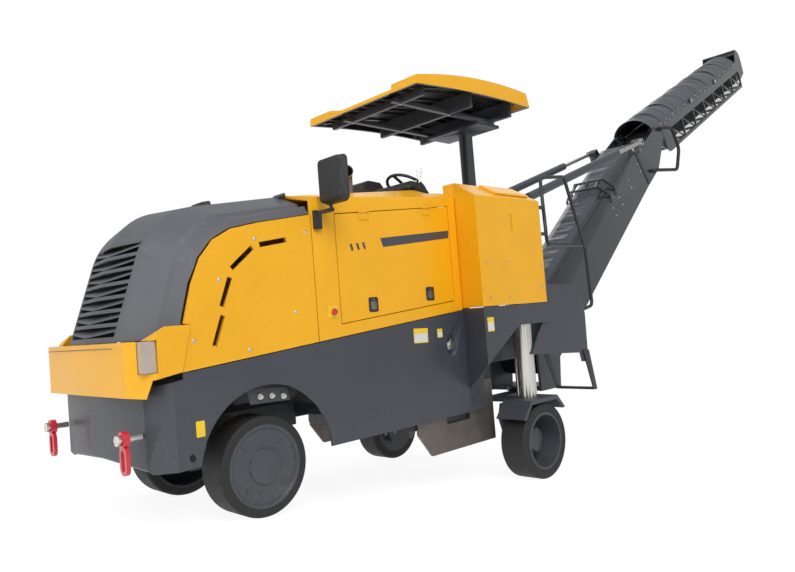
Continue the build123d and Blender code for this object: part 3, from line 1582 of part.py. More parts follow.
with BuildPart() as upper_cover:
    cover_foot = 150
    with BuildSketch(boom_section(fold_pin, upper_angle, -160)):
        with BuildLine():
            outer = Polyline(
                (-upper_half_width - 4, cover_foot), (-upper_half_width - 4, cover_foot - 60),
                (-upper_half_width - 1, cover_foot - 60), (-upper_half_width - 1, cover_foot),
            )
            other = Polyline(
                (upper_half_width + 1, cover_foot), (upper_half_width + 1, cover_foot - 60),
                (upper_half_width + 4, cover_foot - 60), (upper_half_width + 4, cover_foot),
            )
            ThreePointArc(outer @ 1, (0, cover_foot + cover_rise - 8), other @ 0)
            ThreePointArc(other @ 1, (0, cover_foot + cover_rise), outer @ 0)
        make_face()
    extrude(amount=upper_length - 260)
write_piece(upper_cover.part, "upper_cover")

# lift cylinders: both barrels are one body, and so are both rods
cylinder_foot = (cylinder_foot_x, cylinder_foot_z)
cylinder_angle = degrees(
    asin((rod_eye[1] - cylinder_foot[1]) / dist(cylinder_foot, rod_eye))
)
cylinder_reach = dist(cylinder_foot, rod_eye)
with BuildPart() as lift_barrels:
    for side in (1, -1):
        with BuildSketch(boom_plane(cylinder_foot, cylinder_angle, side * cylinder_y)):
            Circle(44)
            Circle(24 + pin_gap, mode=Mode.SUBTRACT)
        extrude(amount=22, both=True)
        barrel_plane = boom_section(cylinder_foot, cylinder_angle, 40)
        with BuildSketch(barrel_plane):
            with Locations((-side * cylinder_y, 0)):
                Circle(cylinder_barrel_radius)
        extrude(amount=barrel_length - 40)
        with BuildSketch(boom_section(cylinder_foot, cylinder_angle, 120)):
            with Locations((-side * cylinder_y, 0)):
                Circle(cylinder_rod_radius + 2)
        extrude(amount=barrel_length, mode=Mode.SUBTRACT)
write_piece(lift_barrels.part, "lift_barrels")

with BuildPart() as lift_rods:
    for side in (1, -1):
        with BuildSketch(boom_section(cylinder_foot, cylinder_angle, barrel_length - 760)):
            with Locations((-side * cylinder_y, 0)):
                Circle(cylinder_rod_radius)
        extrude(amount=cylinder_reach - barrel_length + 760 - 34)
        with BuildSketch(boom_plane(rod_eye, cylinder_angle, side * cylinder_y)):
            Circle(46)
            Circle(26, mode=Mode.SUBTRACT)
        extrude(amount=20, both=True)
write_piece(lift_rods.part, "lift_rods")
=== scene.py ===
import json
import math
import random

import bmesh
import bpy
from mathutils import Matrix, Vector

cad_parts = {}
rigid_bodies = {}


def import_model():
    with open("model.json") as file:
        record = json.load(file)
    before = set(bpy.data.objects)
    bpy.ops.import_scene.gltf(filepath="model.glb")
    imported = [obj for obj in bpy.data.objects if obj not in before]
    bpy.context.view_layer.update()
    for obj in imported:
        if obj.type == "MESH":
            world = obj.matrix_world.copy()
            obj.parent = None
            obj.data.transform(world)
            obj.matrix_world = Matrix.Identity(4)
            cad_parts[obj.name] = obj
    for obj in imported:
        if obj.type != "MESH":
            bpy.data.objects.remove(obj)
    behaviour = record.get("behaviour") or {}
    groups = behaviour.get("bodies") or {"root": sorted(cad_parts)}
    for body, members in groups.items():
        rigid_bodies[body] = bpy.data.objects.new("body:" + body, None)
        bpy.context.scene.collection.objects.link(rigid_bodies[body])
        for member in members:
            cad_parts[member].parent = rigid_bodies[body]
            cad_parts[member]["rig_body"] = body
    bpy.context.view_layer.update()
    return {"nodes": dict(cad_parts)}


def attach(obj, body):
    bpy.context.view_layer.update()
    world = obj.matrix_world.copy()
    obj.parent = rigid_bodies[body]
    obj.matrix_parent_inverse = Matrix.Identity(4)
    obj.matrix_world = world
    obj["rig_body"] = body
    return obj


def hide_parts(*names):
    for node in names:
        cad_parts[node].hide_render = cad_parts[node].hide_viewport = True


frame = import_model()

scene = bpy.context.scene

# The machine is drawn level, x forward, y left, z up, with the origin on the ground under the front
# axle.  It is parked nose down, so everything passes through this one transform.
stance = dict(wheelRadius=0.33, rearAxleX=-2.625, rearLegDrop=0.291, originBehindAxle=4.9)
parkTurn = math.asin(stance["rearLegDrop"] / math.hypot(stance["rearLegDrop"], stance["rearAxleX"]))
parkMatrix = (Matrix.Translation((stance["originBehindAxle"], 0, stance["wheelRadius"]))
              @ Matrix.Rotation(parkTurn, 4, "Y")
              @ Matrix.Translation((0, 0, -stance["wheelRadius"])))
sides = dict(left=1, right=-1)  # the sign of y


def addNode(tree, kind, **values):
    # values are settings of the node, or else its inputs, with _ for a space
    node = tree.nodes.new(kind)
    for name, value in values.items():
        if hasattr(node, name):
            setattr(node, name, value)
        else:
            node.inputs[name.replace("_", " ")].default_value = value
    return node


def link(tree, source, target):
    tree.links.new(source, target)


def addMath(tree, operation, *values):
    # values are sockets or plain numbers
    node = addNode(tree, "ShaderNodeMath", operation=operation)
    for socket, value in zip(node.inputs, values):
        if isinstance(value, float):
            socket.default_value = value
        else:
            link(tree, value, socket)
    return node.outputs[0]


def addRange(tree, value, low, high, toLow=0.0, toHigh=1.0):
    node = addNode(tree, "ShaderNodeMapRange", From_Min=low, From_Max=high, To_Min=toLow, To_Max=toHigh)
    link(tree, value, node.inputs["Value"])
    return node.outputs["Result"]


def addHeight(tree, vector):
    node = addNode(tree, "ShaderNodeSeparateXYZ")
    link(tree, vector, node.inputs[0])
    return node.outputs["Z"]


def newGroup(name, inputs, outputs):
    group = bpy.data.node_groups.new(name, "ShaderNodeTree")
    for label, kind, value in inputs:
        socket = group.interface.new_socket(label, in_out="INPUT", socket_type=kind)
        socket.default_value = value
    for label, kind in outputs:
        group.interface.new_socket(label, in_out="OUTPUT", socket_type=kind)
    return group, group.nodes.new("NodeGroupInput"), group.nodes.new("NodeGroupOutput")


def makePaintWear():
    floatSocket, colourSocket = "NodeSocketFloat", "NodeSocketColor"
    group, given, out = newGroup("paintWear", [
        ("Colour", colourSocket, (0.5, 0.5, 0.5, 1)), ("Dust Colour", colourSocket, (0.3, 0.28, 0.25, 1)),
        ("Dust", floatSocket, 0.15), ("Mottle", floatSocket, 0.06), ("Grain Scale", floatSocket, 900.0),
        ("Grain", floatSocket, 0.2), ("Rough", floatSocket, 0.35)],
        [("Colour", colourSocket), ("Roughness", floatSocket), ("Height", floatSocket)])
    place = addNode(group, "ShaderNodeTexCoord").outputs["Object"]
    broad = addNode(group, "ShaderNodeTexNoise", Scale=2.3, Detail=5.0, Roughness=0.6)
    fine = addNode(group, "ShaderNodeTexNoise", Detail=3.0, Roughness=0.55)
    speck = addNode(group, "ShaderNodeTexNoise", Scale=34.0, Detail=6.0, Roughness=0.75)
    for noise in (broad, fine, speck):
        link(group, place, noise.inputs["Vector"])
    link(group, given.outputs["Grain Scale"], fine.inputs["Scale"])
    # dust gathers in patches, on faces that look up and low on the machine
    normal = addNode(group, "ShaderNodeNewGeometry").outputs["Normal"]
    upward = addRange(group, addHeight(group, normal), 0.2, 1.0)
    low = addRange(group, addHeight(group, place), 0.9, 0.15)
    patch = addRange(group, speck.outputs["Fac"], 0.42, 0.75)
    amount = addMath(group, "MULTIPLY", addMath(group, "MAXIMUM", upward, low), patch)
    dust = addMath(group, "MULTIPLY", amount, given.outputs["Dust"])
    # broad mottling of the shade and the gloss
    shade = addRange(group, broad.outputs["Fac"], 0.3, 0.7, -1.0, 1.0)
    tint = addNode(group, "ShaderNodeHueSaturation")
    link(group, given.outputs["Colour"], tint.inputs["Color"])
    link(group, addMath(group, "MULTIPLY_ADD", shade, given.outputs["Mottle"], 1.0), tint.inputs["Value"])
    dusty = addNode(group, "ShaderNodeMix", data_type="RGBA")
    link(group, dust, dusty.inputs["Factor"])
    link(group, tint.outputs["Color"], dusty.inputs[6])
    link(group, given.outputs["Dust Colour"], dusty.inputs[7])
    link(group, dusty.outputs[2], out.inputs["Colour"])
    rough = addMath(group, "MULTIPLY_ADD", shade, 0.05, given.outputs["Rough"])
    link(group, addMath(group, "ADD", rough, dust), out.inputs["Roughness"])
    relief = addMath(group, "MULTIPLY", fine.outputs["Fac"], given.outputs["Grain"])
    link(group, relief, out.inputs["Height"])
    return group


paintWear = makePaintWear()


def makeMaterial(name, colour, rough=0.4, metallic=0.0, coat=0.0, coatRough=0.1, grain=0.2, grainScale=900.0,
                 mottle=0.06, dust=0.15, bump=0.0006, edge=0.004, dustColour=(0.3, 0.28, 0.25)):
    # bump is the depth of the grain and edge the radius of rounded edges, both in metres
    material = bpy.data.materials.new(name)
    material.use_nodes = True
    tree = material.node_tree
    shader = tree.nodes["Principled BSDF"]
    wear = addNode(tree, "ShaderNodeGroup", node_tree=paintWear)
    wearValues = {"Colour": (*colour, 1), "Dust Colour": (*dustColour, 1), "Dust": dust, "Mottle": mottle,
                  "Grain": grain, "Grain Scale": grainScale, "Rough": rough}
    for label, value in wearValues.items():
        wear.inputs[label].default_value = value
    relief = addNode(tree, "ShaderNodeBump", Strength=0.6, Distance=bump)
    rounding = addNode(tree, "ShaderNodeBevel", samples=4, Radius=edge)
    link(tree, rounding.outputs["Normal"], relief.inputs["Normal"])
    link(tree, wear.outputs["Colour"], shader.inputs["Base Color"])
    link(tree, wear.outputs["Roughness"], shader.inputs["Roughness"])
    link(tree, wear.outputs["Height"], relief.inputs["Height"])
    link(tree, relief.outputs["Normal"], shader.inputs["Normal"])
    shader.inputs["Metallic"].default_value = metallic
    shader.inputs["Coat Weight"].default_value = coat
    shader.inputs["Coat Roughness"].default_value = coatRough
    material.diffuse_color = (*colour, 1)
    return material


materials = dict(
    yellow=makeMaterial("yellowPaint", (0.88, 0.43, 0.006), rough=0.38, coat=0.12, coatRough=0.12,
                        mottle=0.04, grain=0.12, grainScale=260.0, dust=0.12, dustColour=(0.62, 0.42, 0.2)),
    grey=makeMaterial("greyPaint", (0.05, 0.056, 0.07), rough=0.46, coat=0.12, mottle=0.09, grain=0.3,
                      grainScale=420.0, dust=0.3, dustColour=(0.2, 0.19, 0.18)),
    hood=makeMaterial("hoodPaint", (0.092, 0.096, 0.11), rough=0.46, coat=0.06, mottle=0.08, grain=0.9,
                      grainScale=1300.0, bump=0.0009, dust=0.2, dustColour=(0.24, 0.235, 0.23)),
    boom=makeMaterial("boomPaint", (0.02, 0.024, 0.032), rough=0.22, coat=0.7, coatRough=0.1, mottle=0.15,
                      grain=0.3, grainScale=200.0, dust=0.25, dustColour=(0.06, 0.06, 0.066)),
    black=makeMaterial("blackPaint", (0.018, 0.018, 0.02), rough=0.42, coat=0.2, mottle=0.1, dust=0.3,
                       dustColour=(0.12, 0.11, 0.1)),
    plastic=makeMaterial("blackPlastic", (0.02, 0.02, 0.022), rough=0.5, grain=0.8, grainScale=1500.0,
                         dust=0.2),
    red=makeMaterial("redPaint", (0.62, 0.012, 0.03), rough=0.28, coat=0.5, mottle=0.08, dust=0.1),
    bright=makeMaterial("brightSteel", (0.62, 0.6, 0.57), rough=0.24, metallic=1.0, mottle=0.1, grain=0.3,
                        grainScale=300.0, dust=0.12, dustColour=(0.3, 0.24, 0.18)),
    worn=makeMaterial("wornSteel", (0.21, 0.19, 0.175), rough=0.48, metallic=0.85, mottle=0.25, grain=0.6,
                      grainScale=120.0, dust=0.5, dustColour=(0.16, 0.12, 0.09)),
    cast=makeMaterial("castIron", (0.09, 0.09, 0.095), rough=0.6, metallic=0.5, grain=1.0, grainScale=300.0),
    tyre=makeMaterial("tyreRubber", (0.017, 0.017, 0.018), rough=0.6, mottle=0.14, grain=0.8,
                      grainScale=240.0, dust=0.3, dustColour=(0.05, 0.046, 0.042)),
    belt=makeMaterial("beltRubber", (0.02, 0.02, 0.021), rough=0.6, grain=0.7, grainScale=180.0, dust=0.4,
                      dustColour=(0.1, 0.09, 0.08)),
    cloth=makeMaterial("tarpaulin", (0.06, 0.07, 0.09), rough=0.3, coat=0.2, coatRough=0.25, mottle=0.16,
                       grain=0.35, grainScale=320.0, dust=0.25, dustColour=(0.2, 0.2, 0.21)),
    vinyl=makeMaterial("seatVinyl", (0.022, 0.022, 0.024), rough=0.42, grain=1.0, grainScale=520.0),
    lens=makeMaterial("lampLens", (0.5, 0.42, 0.36), rough=0.08, coat=0.6, grain=0.05, mottle=0.12, dust=0.1),
    amber=makeMaterial("amberLens", (0.85, 0.2, 0.02), rough=0.15, coat=0.5, grain=0.05),
    label=makeMaterial("labelYellow", (0.9, 0.62, 0.03), rough=0.4, grain=0.05, dust=0.1),
    white=makeMaterial("whitePlastic", (0.72, 0.72, 0.7), rough=0.45, grain=0.2, dust=0.15),
    stripe=makeMaterial("stripeGrey", (0.055, 0.06, 0.075), rough=0.35, coat=0.2, grain=0.1, dust=0.1),
    rope=makeMaterial("lashingRope", (0.3, 0.29, 0.27), rough=0.8, grain=1.0, grainScale=700.0, bump=0.0004),
    mirror=makeMaterial("mirrorGlass", (0.75, 0.77, 0.8), rough=0.03, metallic=1.0, grain=0.02,
                        mottle=0.02, dust=0.05),
    zinc=makeMaterial("zincBolt", (0.66, 0.64, 0.6), rough=0.3, metallic=0.9, grain=0.2, dust=0.1),
)
nodeFinish = {
    "yellow": ["front_bumper", "side_panels", "body_shell", "side_door_left", "side_door_right", "tank_left",
               "tank_right", "tank_lid_left", "tank_lid_right", "canopy_roof"],
    "grey": ["chassis_frame", "front_axle", "knuckle_left", "knuckle_right", "front_rim_left",
             "front_rim_right", "rear_fork_left", "rear_fork_right", "rear_rim_left", "rear_rim_right",
             "drum_housing", "canopy_post", "canopy_mast", "rear_scraper", "intake_conveyor",
             "slewing_turret", "lift_barrels", "rear_frame", "turret_bracket"],
    "hood": ["hood_shell"],
    "boom": ["conveyor_lower", "conveyor_upper"],
    "black": ["operator_floor", "rails_and_steps"],
    "plastic": ["control_console", "mirrors"],
    "red": ["towing_rings"],
    "bright": ["rear_column_left", "rear_column_right", "lift_rods"],
    "zinc": ["ring_bolts"],
    "worn": ["milling_drum", "edge_plate_left", "edge_plate_right", "exhaust_pipe"],
    "cast": ["engine_block"],
    "tyre": ["front_tyre_left", "front_tyre_right", "rear_tyre_left", "rear_tyre_right"],
    "belt": ["upper_belt", "fold_hoses"],
    "cloth": ["lower_cover", "upper_cover"],
    "vinyl": ["operator_seat"],
    "lens": ["headlamps"],
}
for finish, names in nodeFinish.items():
    for name in names:
        cadObject = bpy.data.objects[name]
        cadObject.data.materials.clear()
        cadObject.data.materials.append(materials[finish])
print("materials: done")


# pieces are drawn in the machine's level frame, in millimetres
levelToFrame = parkMatrix @ Matrix.Scale(0.001, 4)
boomLow = dict(origin=(-4050.0, 950.0), angle=39.0, halfWidth=300)
boomHigh = dict(origin=(-7349.6, 3600.1), angle=25.0, halfWidth=290)


def onBoom(boom, along, up, y):
    # place on a conveyor: along it from its lower end, up from its middle line
    slope = math.radians(boom["angle"])
    return Vector((boom["origin"][0] - along * math.cos(slope) + up * math.sin(slope), y,
                   boom["origin"][1] + along * math.sin(slope) + up * math.cos(slope)))


def boomAxis(boom, along, up):
    return onBoom(boom, along, up, 0) - onBoom(boom, 0, 0, 0)


def smoothMesh(mesh, angle):
    mesh.shade_smooth()
    mesh.set_sharp_from_angle(angle=math.radians(angle))


def meshFrom(name, work, angle):
    mesh = bpy.data.meshes.new(name)
    work.to_mesh(mesh)
    work.free()
    smoothMesh(mesh, angle)
    return mesh


def linkPiece(name, mesh):
    piece = bpy.data.objects.new(name, mesh)
    scene.collection.objects.link(piece)
    return piece


def bake(piece):
    # modifiers are applied, so the piece is a plain mesh
    bpy.context.view_layer.update()
    baked = bpy.data.meshes.new_from_object(piece.evaluated_get(bpy.context.evaluated_depsgraph_get()))
    piece.modifiers.clear()
    piece.data = baked


def finishWork(name, work, finish, body, angle=35):
    # edges sharper than the angle stay crisp
    bmesh.ops.recalc_face_normals(work, faces=work.faces)
    work.transform(levelToFrame)
    piece = linkPiece(name, meshFrom(name, work, angle))
    piece.data.materials.append(materials[finish])
    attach(piece, body)
    return piece


def outwardFrame(outward):
    # turns z to outward; x lies level, unless outward is steep
    outward = Vector(outward).normalized()
    side = Vector((0, 0, 1)) if abs(outward.z) < 0.9 else Vector((1, 0, 0))
    across = side.cross(outward).normalized()
    return Matrix((across, outward.cross(across), outward)).transposed().to_4x4()


def closeRings(work, rings):
    # closed skin over rings of equal length
    work.faces.new(rings[0][::-1])
    work.faces.new(rings[-1])
    for low, high in zip(rings, rings[1:]):
        for i in range(len(low)):
            following = (i + 1) % len(low)
            work.faces.new((low[i], low[following], high[following], high[i]))


def joinRows(work, rows):
    # open skin over rows of equal length
    for low, high in zip(rows, rows[1:]):
        for i in range(len(low) - 1):
            work.faces.new((low[i], low[i + 1], high[i + 1], high[i]))


def addPlate(work, corners, outward, thick, edge=0.0):
    # flat plate from its outline, raised along outward, with a chamfered rim where edge is given
    corners = [Vector(corner) for corner in corners]
    lift = Vector(outward).normalized() * thick
    centre = sum(corners, Vector()) / len(corners)
    chamferStart = 0.55 if edge else 1.0
    rings = [corners, [corner + lift * chamferStart for corner in corners]]
    if edge:
        rings.append([corner + (centre - corner).normalized() * edge + lift for corner in corners])
    closeRings(work, [[work.verts.new(point) for point in ring] for ring in rings])


def roundedRect(centre, across, along, width, height, radius, steps=5):
    corners = []
    for sx, sy, start in ((1, 1, 0), (-1, 1, 90), (-1, -1, 180), (1, -1, 270)):
        for step in range(steps + 1):
            turn = math.radians(start + 90 * step / steps)
            right = sx * (width / 2 - radius) + radius * math.cos(turn)
            rise = sy * (height / 2 - radius) + radius * math.sin(turn)
            corners.append(Vector(centre) + Vector(across) * right + Vector(along) * rise)
    return corners


def sideRect(x, y, z, width, height, radius):
    return roundedRect((x, y, z), (1, 0, 0), (0, 0, 1), width, height, radius)


def addRound(work, centre, outward, profile, segments=24):
    # turned shape: profile is (radius, height along outward)
    turn = outwardFrame(outward)
    rings = []
    for radius, height in profile:
        ring = []
        for i in range(segments):
            angle = 2 * math.pi * i / segments
            ring.append(work.verts.new(Vector(centre) + turn @ Vector(
                (radius * math.cos(angle), radius * math.sin(angle), height))))
        rings.append(ring)
    closeRings(work, rings)


def addBar(work, start, end, width, height, up=(0, 0, 1)):
    start, end = Vector(start), Vector(end)
    along = (end - start).normalized()
    side = along.cross(Vector(up)).normalized()
    top = side.cross(along)
    closeRings(work, [[work.verts.new(point + side * width / 2 * a + top * height / 2 * b)
                       for a, b in ((-1, -1), (1, -1), (1, 1), (-1, 1))] for point in (start, end)])


def addBars(work, points, width, height, up=(0, 0, 1)):
    for start, end in zip(points, points[1:]):
        addBar(work, start, end, width, height, up)


def newTree(name, inputs):
    tree = bpy.data.node_groups.new(name, "GeometryNodeTree")
    for label, kind in [("Geometry", "Geometry")] + inputs:
        tree.interface.new_socket(label, in_out="INPUT", socket_type="NodeSocket" + kind)
    tree.interface.new_socket("Geometry", in_out="OUTPUT", socket_type="NodeSocketGeometry")
    return tree, tree.nodes.new("NodeGroupInput"), tree.nodes.new("NodeGroupOutput")


def makeScatterTree():
    # puts one small shape on every point, turned along the point's outward attribute
    tree, given, out = newTree("scatterParts", [("Shape", "Object"), ("Material", "Material")])
    shape = addNode(tree, "GeometryNodeObjectInfo")
    outward = addNode(tree, "GeometryNodeInputNamedAttribute", data_type="FLOAT_VECTOR", Name="outward")
    turn = addNode(tree, "FunctionNodeAlignRotationToVector", axis="Z")
    spread = addNode(tree, "GeometryNodeInstanceOnPoints")
    solid = addNode(tree, "GeometryNodeRealizeInstances")
    paint = addNode(tree, "GeometryNodeSetMaterial")
    link(tree, given.outputs["Shape"], shape.inputs["Object"])
    link(tree, given.outputs["Geometry"], spread.inputs["Points"])
    link(tree, shape.outputs["Geometry"], spread.inputs["Instance"])
    link(tree, outward.outputs["Attribute"], turn.inputs["Vector"])
    link(tree, turn.outputs["Rotation"], spread.inputs["Rotation"])
    link(tree, spread.outputs["Instances"], solid.inputs["Geometry"])
    link(tree, solid.outputs["Geometry"], paint.inputs["Geometry"])
    link(tree, given.outputs["Material"], paint.inputs["Material"])
    link(tree, paint.outputs["Geometry"], out.inputs["Geometry"])
    return tree


def makeTubeTree():
    # round tube along a polyline with rounded corners
    tree, given, out = newTree("tubeAlong", [("Radius", "Float"), ("Bend", "Float"),
                                             ("Material", "Material")])
    line = addNode(tree, "GeometryNodeMeshToCurve")
    bend = addNode(tree, "GeometryNodeFilletCurve", mode="POLY", Count=8, Limit_Radius=True)
    ring = addNode(tree, "GeometryNodeCurvePrimitiveCircle", Resolution=12)
    skin = addNode(tree, "GeometryNodeCurveToMesh", Fill_Caps=True)
    smooth = addNode(tree, "GeometryNodeSetShadeSmooth")
    paint = addNode(tree, "GeometryNodeSetMaterial")
    link(tree, given.outputs["Geometry"], line.inputs["Mesh"])
    link(tree, line.outputs["Curve"], bend.inputs["Curve"])
    link(tree, given.outputs["Bend"], bend.inputs["Radius"])
    link(tree, given.outputs["Radius"], ring.inputs["Radius"])
    link(tree, bend.outputs["Curve"], skin.inputs["Curve"])
    link(tree, ring.outputs["Curve"], skin.inputs["Profile Curve"])
    link(tree, skin.outputs["Mesh"], smooth.inputs["Geometry"])
    link(tree, smooth.outputs["Geometry"], paint.inputs["Geometry"])
    link(tree, given.outputs["Material"], paint.inputs["Material"])
    link(tree, paint.outputs["Geometry"], out.inputs["Geometry"])
    return tree


scatterTree, tubeTree = makeScatterTree(), makeTubeTree()


def addTreePiece(name, mesh, tree, values, body):
    piece = linkPiece(name, mesh)
    modifier = piece.modifiers.new(tree.name, "NODES")
    modifier.node_group = tree
    for item in tree.interface.items_tree:
        if item.item_type == "SOCKET" and item.in_out == "INPUT" and item.name in values:
            modifier[item.identifier] = values[item.name]
    bake(piece)
    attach(piece, body)


def addScatter(name, shape, rows, finish, body):
    # rows are (place, outward) in the level frame
    mesh = bpy.data.meshes.new(name)
    mesh.from_pydata([levelToFrame @ Vector(place) for place, outward in rows], [], [])
    outwards = mesh.attributes.new("outward", "FLOAT_VECTOR", "POINT")
    turned = [(levelToFrame.to_3x3() @ Vector(outward)).normalized() for place, outward in rows]
    outwards.data.foreach_set("vector", [v for outward in turned for v in outward])
    values = {"Shape": shape, "Material": materials[finish]}
    addTreePiece(name, mesh, scatterTree, values, body)


def addTubes(name, routes, radius, bend, finish, body):
    # routes are lists of points in the level frame, radius and bend are in millimetres
    points, edges = [], []
    for route in routes:
        first = len(points)
        points += [levelToFrame @ Vector(point) for point in route]
        edges += [(i, i + 1) for i in range(first, len(points) - 1)]
    mesh = bpy.data.meshes.new(name)
    mesh.from_pydata(points, edges, [])
    values = {"Radius": radius / 1000, "Bend": bend / 1000, "Material": materials[finish]}
    addTreePiece(name, mesh, tubeTree, values, body)


def makeShape(name, profile, segments):
    # hidden pattern for a scattered part, pointing up z: profile is (radius, height) in millimetres
    work = bmesh.new()
    metres = [(radius / 1000, height / 1000) for radius, height in profile]
    addRound(work, (0, 0, 0), (0, 0, 1), metres, segments)
    bmesh.ops.recalc_face_normals(work, faces=work.faces)
    return bpy.data.objects.new(name, meshFrom(name, work, angle=40))


domeBolt = makeShape("domeBolt", [(13, -1), (13, 1.5), (9, 2), (8.5, 5.5), (6.5, 8), (3, 9.2)], 20)
hexBolt = makeShape("hexBolt", [(11.5, -1), (11.5, 7), (10, 8.5)], 6)
capScrew = makeShape("capScrew", [(8, -1), (8, 4), (7, 5)], 18)


# CAD pieces with their facets merged and smoothed; the shape stays the same
smoothCopies = dict(
    skipped=("lower_cover", "upper_cover", "operator_seat"),  # made anew further down
    mergeDistance=1e-5, sliver=1e-6, angle=30,
    angles={"hood_shell": 24, "canopy_roof": 24, "front_tyre_left": 40, "front_tyre_right": 40,
            "rear_tyre_left": 40, "rear_tyre_right": 40})


def smoothCopy(name):
    source = frame["nodes"][name]
    work = bmesh.new()
    work.from_mesh(source.data)
    bmesh.ops.remove_doubles(work, verts=work.verts, dist=smoothCopies["mergeDistance"])
    bmesh.ops.dissolve_degenerate(work, dist=smoothCopies["sliver"], edges=work.edges)
    bmesh.ops.recalc_face_normals(work, faces=work.faces)
    angle = smoothCopies["angles"].get(name, smoothCopies["angle"])
    piece = linkPiece(name + "_finished", meshFrom(name + "_finished", work, angle))
    weigh = piece.modifiers.new("weigh", "WEIGHTED_NORMAL")
    weigh.keep_sharp = True
    bake(piece)
    piece.data.materials.clear()
    piece.data.materials.append(source.data.materials[0])
    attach(piece, source["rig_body"])
    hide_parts(name)
    return piece


finished = {name: smoothCopy(name) for name in sorted(frame["nodes"]) if name not in smoothCopies["skipped"]}
print("smooth copies:", len(finished))

# the canopy's underside is a black liner with ribs
canopy = dict(frontX=-1690, rearX=-3362, halfWidth=735, crestX=-2900, crestZ=3392, radius=5600, depth=70)
liner = dict(facingDown=-0.35, facingIn=-0.3, sideMargin=60, endReach=-300, endX=(-3300, -1760), highest=3340)


def onLiner(centre, outward):
    # the liner is what looks down, or in under the roof's rim
    inward = (outward.y * centre.y < liner["facingIn"] * abs(centre.y)
              and abs(centre.y) > canopy["halfWidth"] - liner["sideMargin"])
    rearX, frontX = liner["endX"]
    endwise = (outward.x * (centre.x - canopy["crestX"]) < liner["endReach"]
               and not rearX < centre.x < frontX)
    return outward.z < liner["facingDown"] or ((inward or endwise) and centre.z < liner["highest"])


roofPiece = finished["canopy_roof"]
roofPiece.data.materials.append(materials["black"])
frameToLevel = levelToFrame.inverted()
for face in roofPiece.data.polygons:
    outward = (frameToLevel.to_3x3() @ face.normal).normalized()
    if onLiner(frameToLevel @ face.center, outward):
        face.material_index = 1


def linerZ(x):
    return canopy["crestZ"] - canopy["depth"] - canopy["radius"] + math.sqrt(
        canopy["radius"] ** 2 - (x - canopy["crestX"]) ** 2)


ribs = dict(y=(-600, -480, -250, -125, 0, 125, 250, 480, 600), steps=12, frontInset=60, rearInset=70,
            drop=9, width=34, height=20)
ribStart = canopy["frontX"] - ribs["frontInset"]
ribLength = ribStart - canopy["rearX"] - ribs["rearInset"]
ribX = [ribStart - ribLength * k / ribs["steps"] for k in range(ribs["steps"] + 1)]
work = bmesh.new()
for ribY in ribs["y"]:
    addBars(work, [(x, ribY, linerZ(x) - ribs["drop"]) for x in ribX], ribs["width"], ribs["height"])
finishWork("canopy_liner_ribs", work, "black", "canopy")

frameBolts = dict(x=(-1900, -2560, -3180), y=330, z=3150)
rows = [((x, side * frameBolts["y"], frameBolts["z"]), (0, 0, -1))
        for x in frameBolts["x"] for side in sides.values()]
addScatter("canopy_frame_bolts", hexBolt, rows, "zinc", "canopy")
topPins = dict(places=((-2150, 3342), (-3050, 3391)), y=600)  # places are x, z
rows = [((x, side * topPins["y"], z), (0, 0, 1)) for x, z in topPins["places"] for side in sides.values()]
addScatter("canopy_top_pins", capScrew, rows, "zinc", "canopy")
print("canopy: done")

# bolts on the yellow sides and on the tanks, placed by x and z
walls = dict(body=760, tank=1050)  # y of the outer faces
panelBolts = [(21, 1822), (-397, 1876), (297, 1556), (-270, 1325), (493, 1190), (111, 1103)]
tankBolts = [(-2050, 1640), (-2320, 1640), (-2050, 1330), (-2320, 1330), (-2830, 1600), (-2830, 1400)]
rows = [((x, side * walls["body"], z), (0, side, 0)) for x, z in panelBolts for side in sides.values()]
addScatter("panel_bolts", domeBolt, rows, "zinc", "machine")
rows = [((x, side * walls["tank"], z), (0, side, 0)) for x, z in tankBolts for side in sides.values()]
addScatter("tank_bolts", hexBolt, rows, "zinc", "machine")

# blank labels, some with a white field
labels = [  # middle x, z, width, height, turn in degrees, wall, white field
    (487, 662, 58, 96, 0, "body", False), (-1478, 1068, 165, 118, 2, "body", True),
    (-1706, 1071, 64, 72, 0, "body", True), (-2024, 1110, 88, 118, 0, "tank", True),
]
labelForm = dict(thick=0.9, corner=6)
fieldForm = dict(thick=0.5, corner=3, lift=0.8, margin=7, heightShare=0.58, dropShare=0.14)
work, white = bmesh.new(), bmesh.new()
for x, z, width, height, turn, wall, hasField in labels:
    along = Vector((math.cos(math.radians(turn)), 0, math.sin(math.radians(turn))))
    rise = Vector((-along.z, 0, along.x))
    for side in sides.values():
        corners = roundedRect((x, side * walls[wall], z), along, rise, width, height, labelForm["corner"])
        addPlate(work, corners, (0, side, 0), labelForm["thick"])
        if hasField:
            middle = (x, side * (walls[wall] + fieldForm["lift"]), z - height * fieldForm["dropShare"])
            corners = roundedRect(middle, along, rise, width - 2 * fieldForm["margin"],
                                  height * fieldForm["heightShare"], fieldForm["corner"])
            addPlate(white, corners, (0, side, 0), fieldForm["thick"])
finishWork("blank_labels", work, "label", "machine")
finishWork("blank_label_fields", white, "white", "machine")

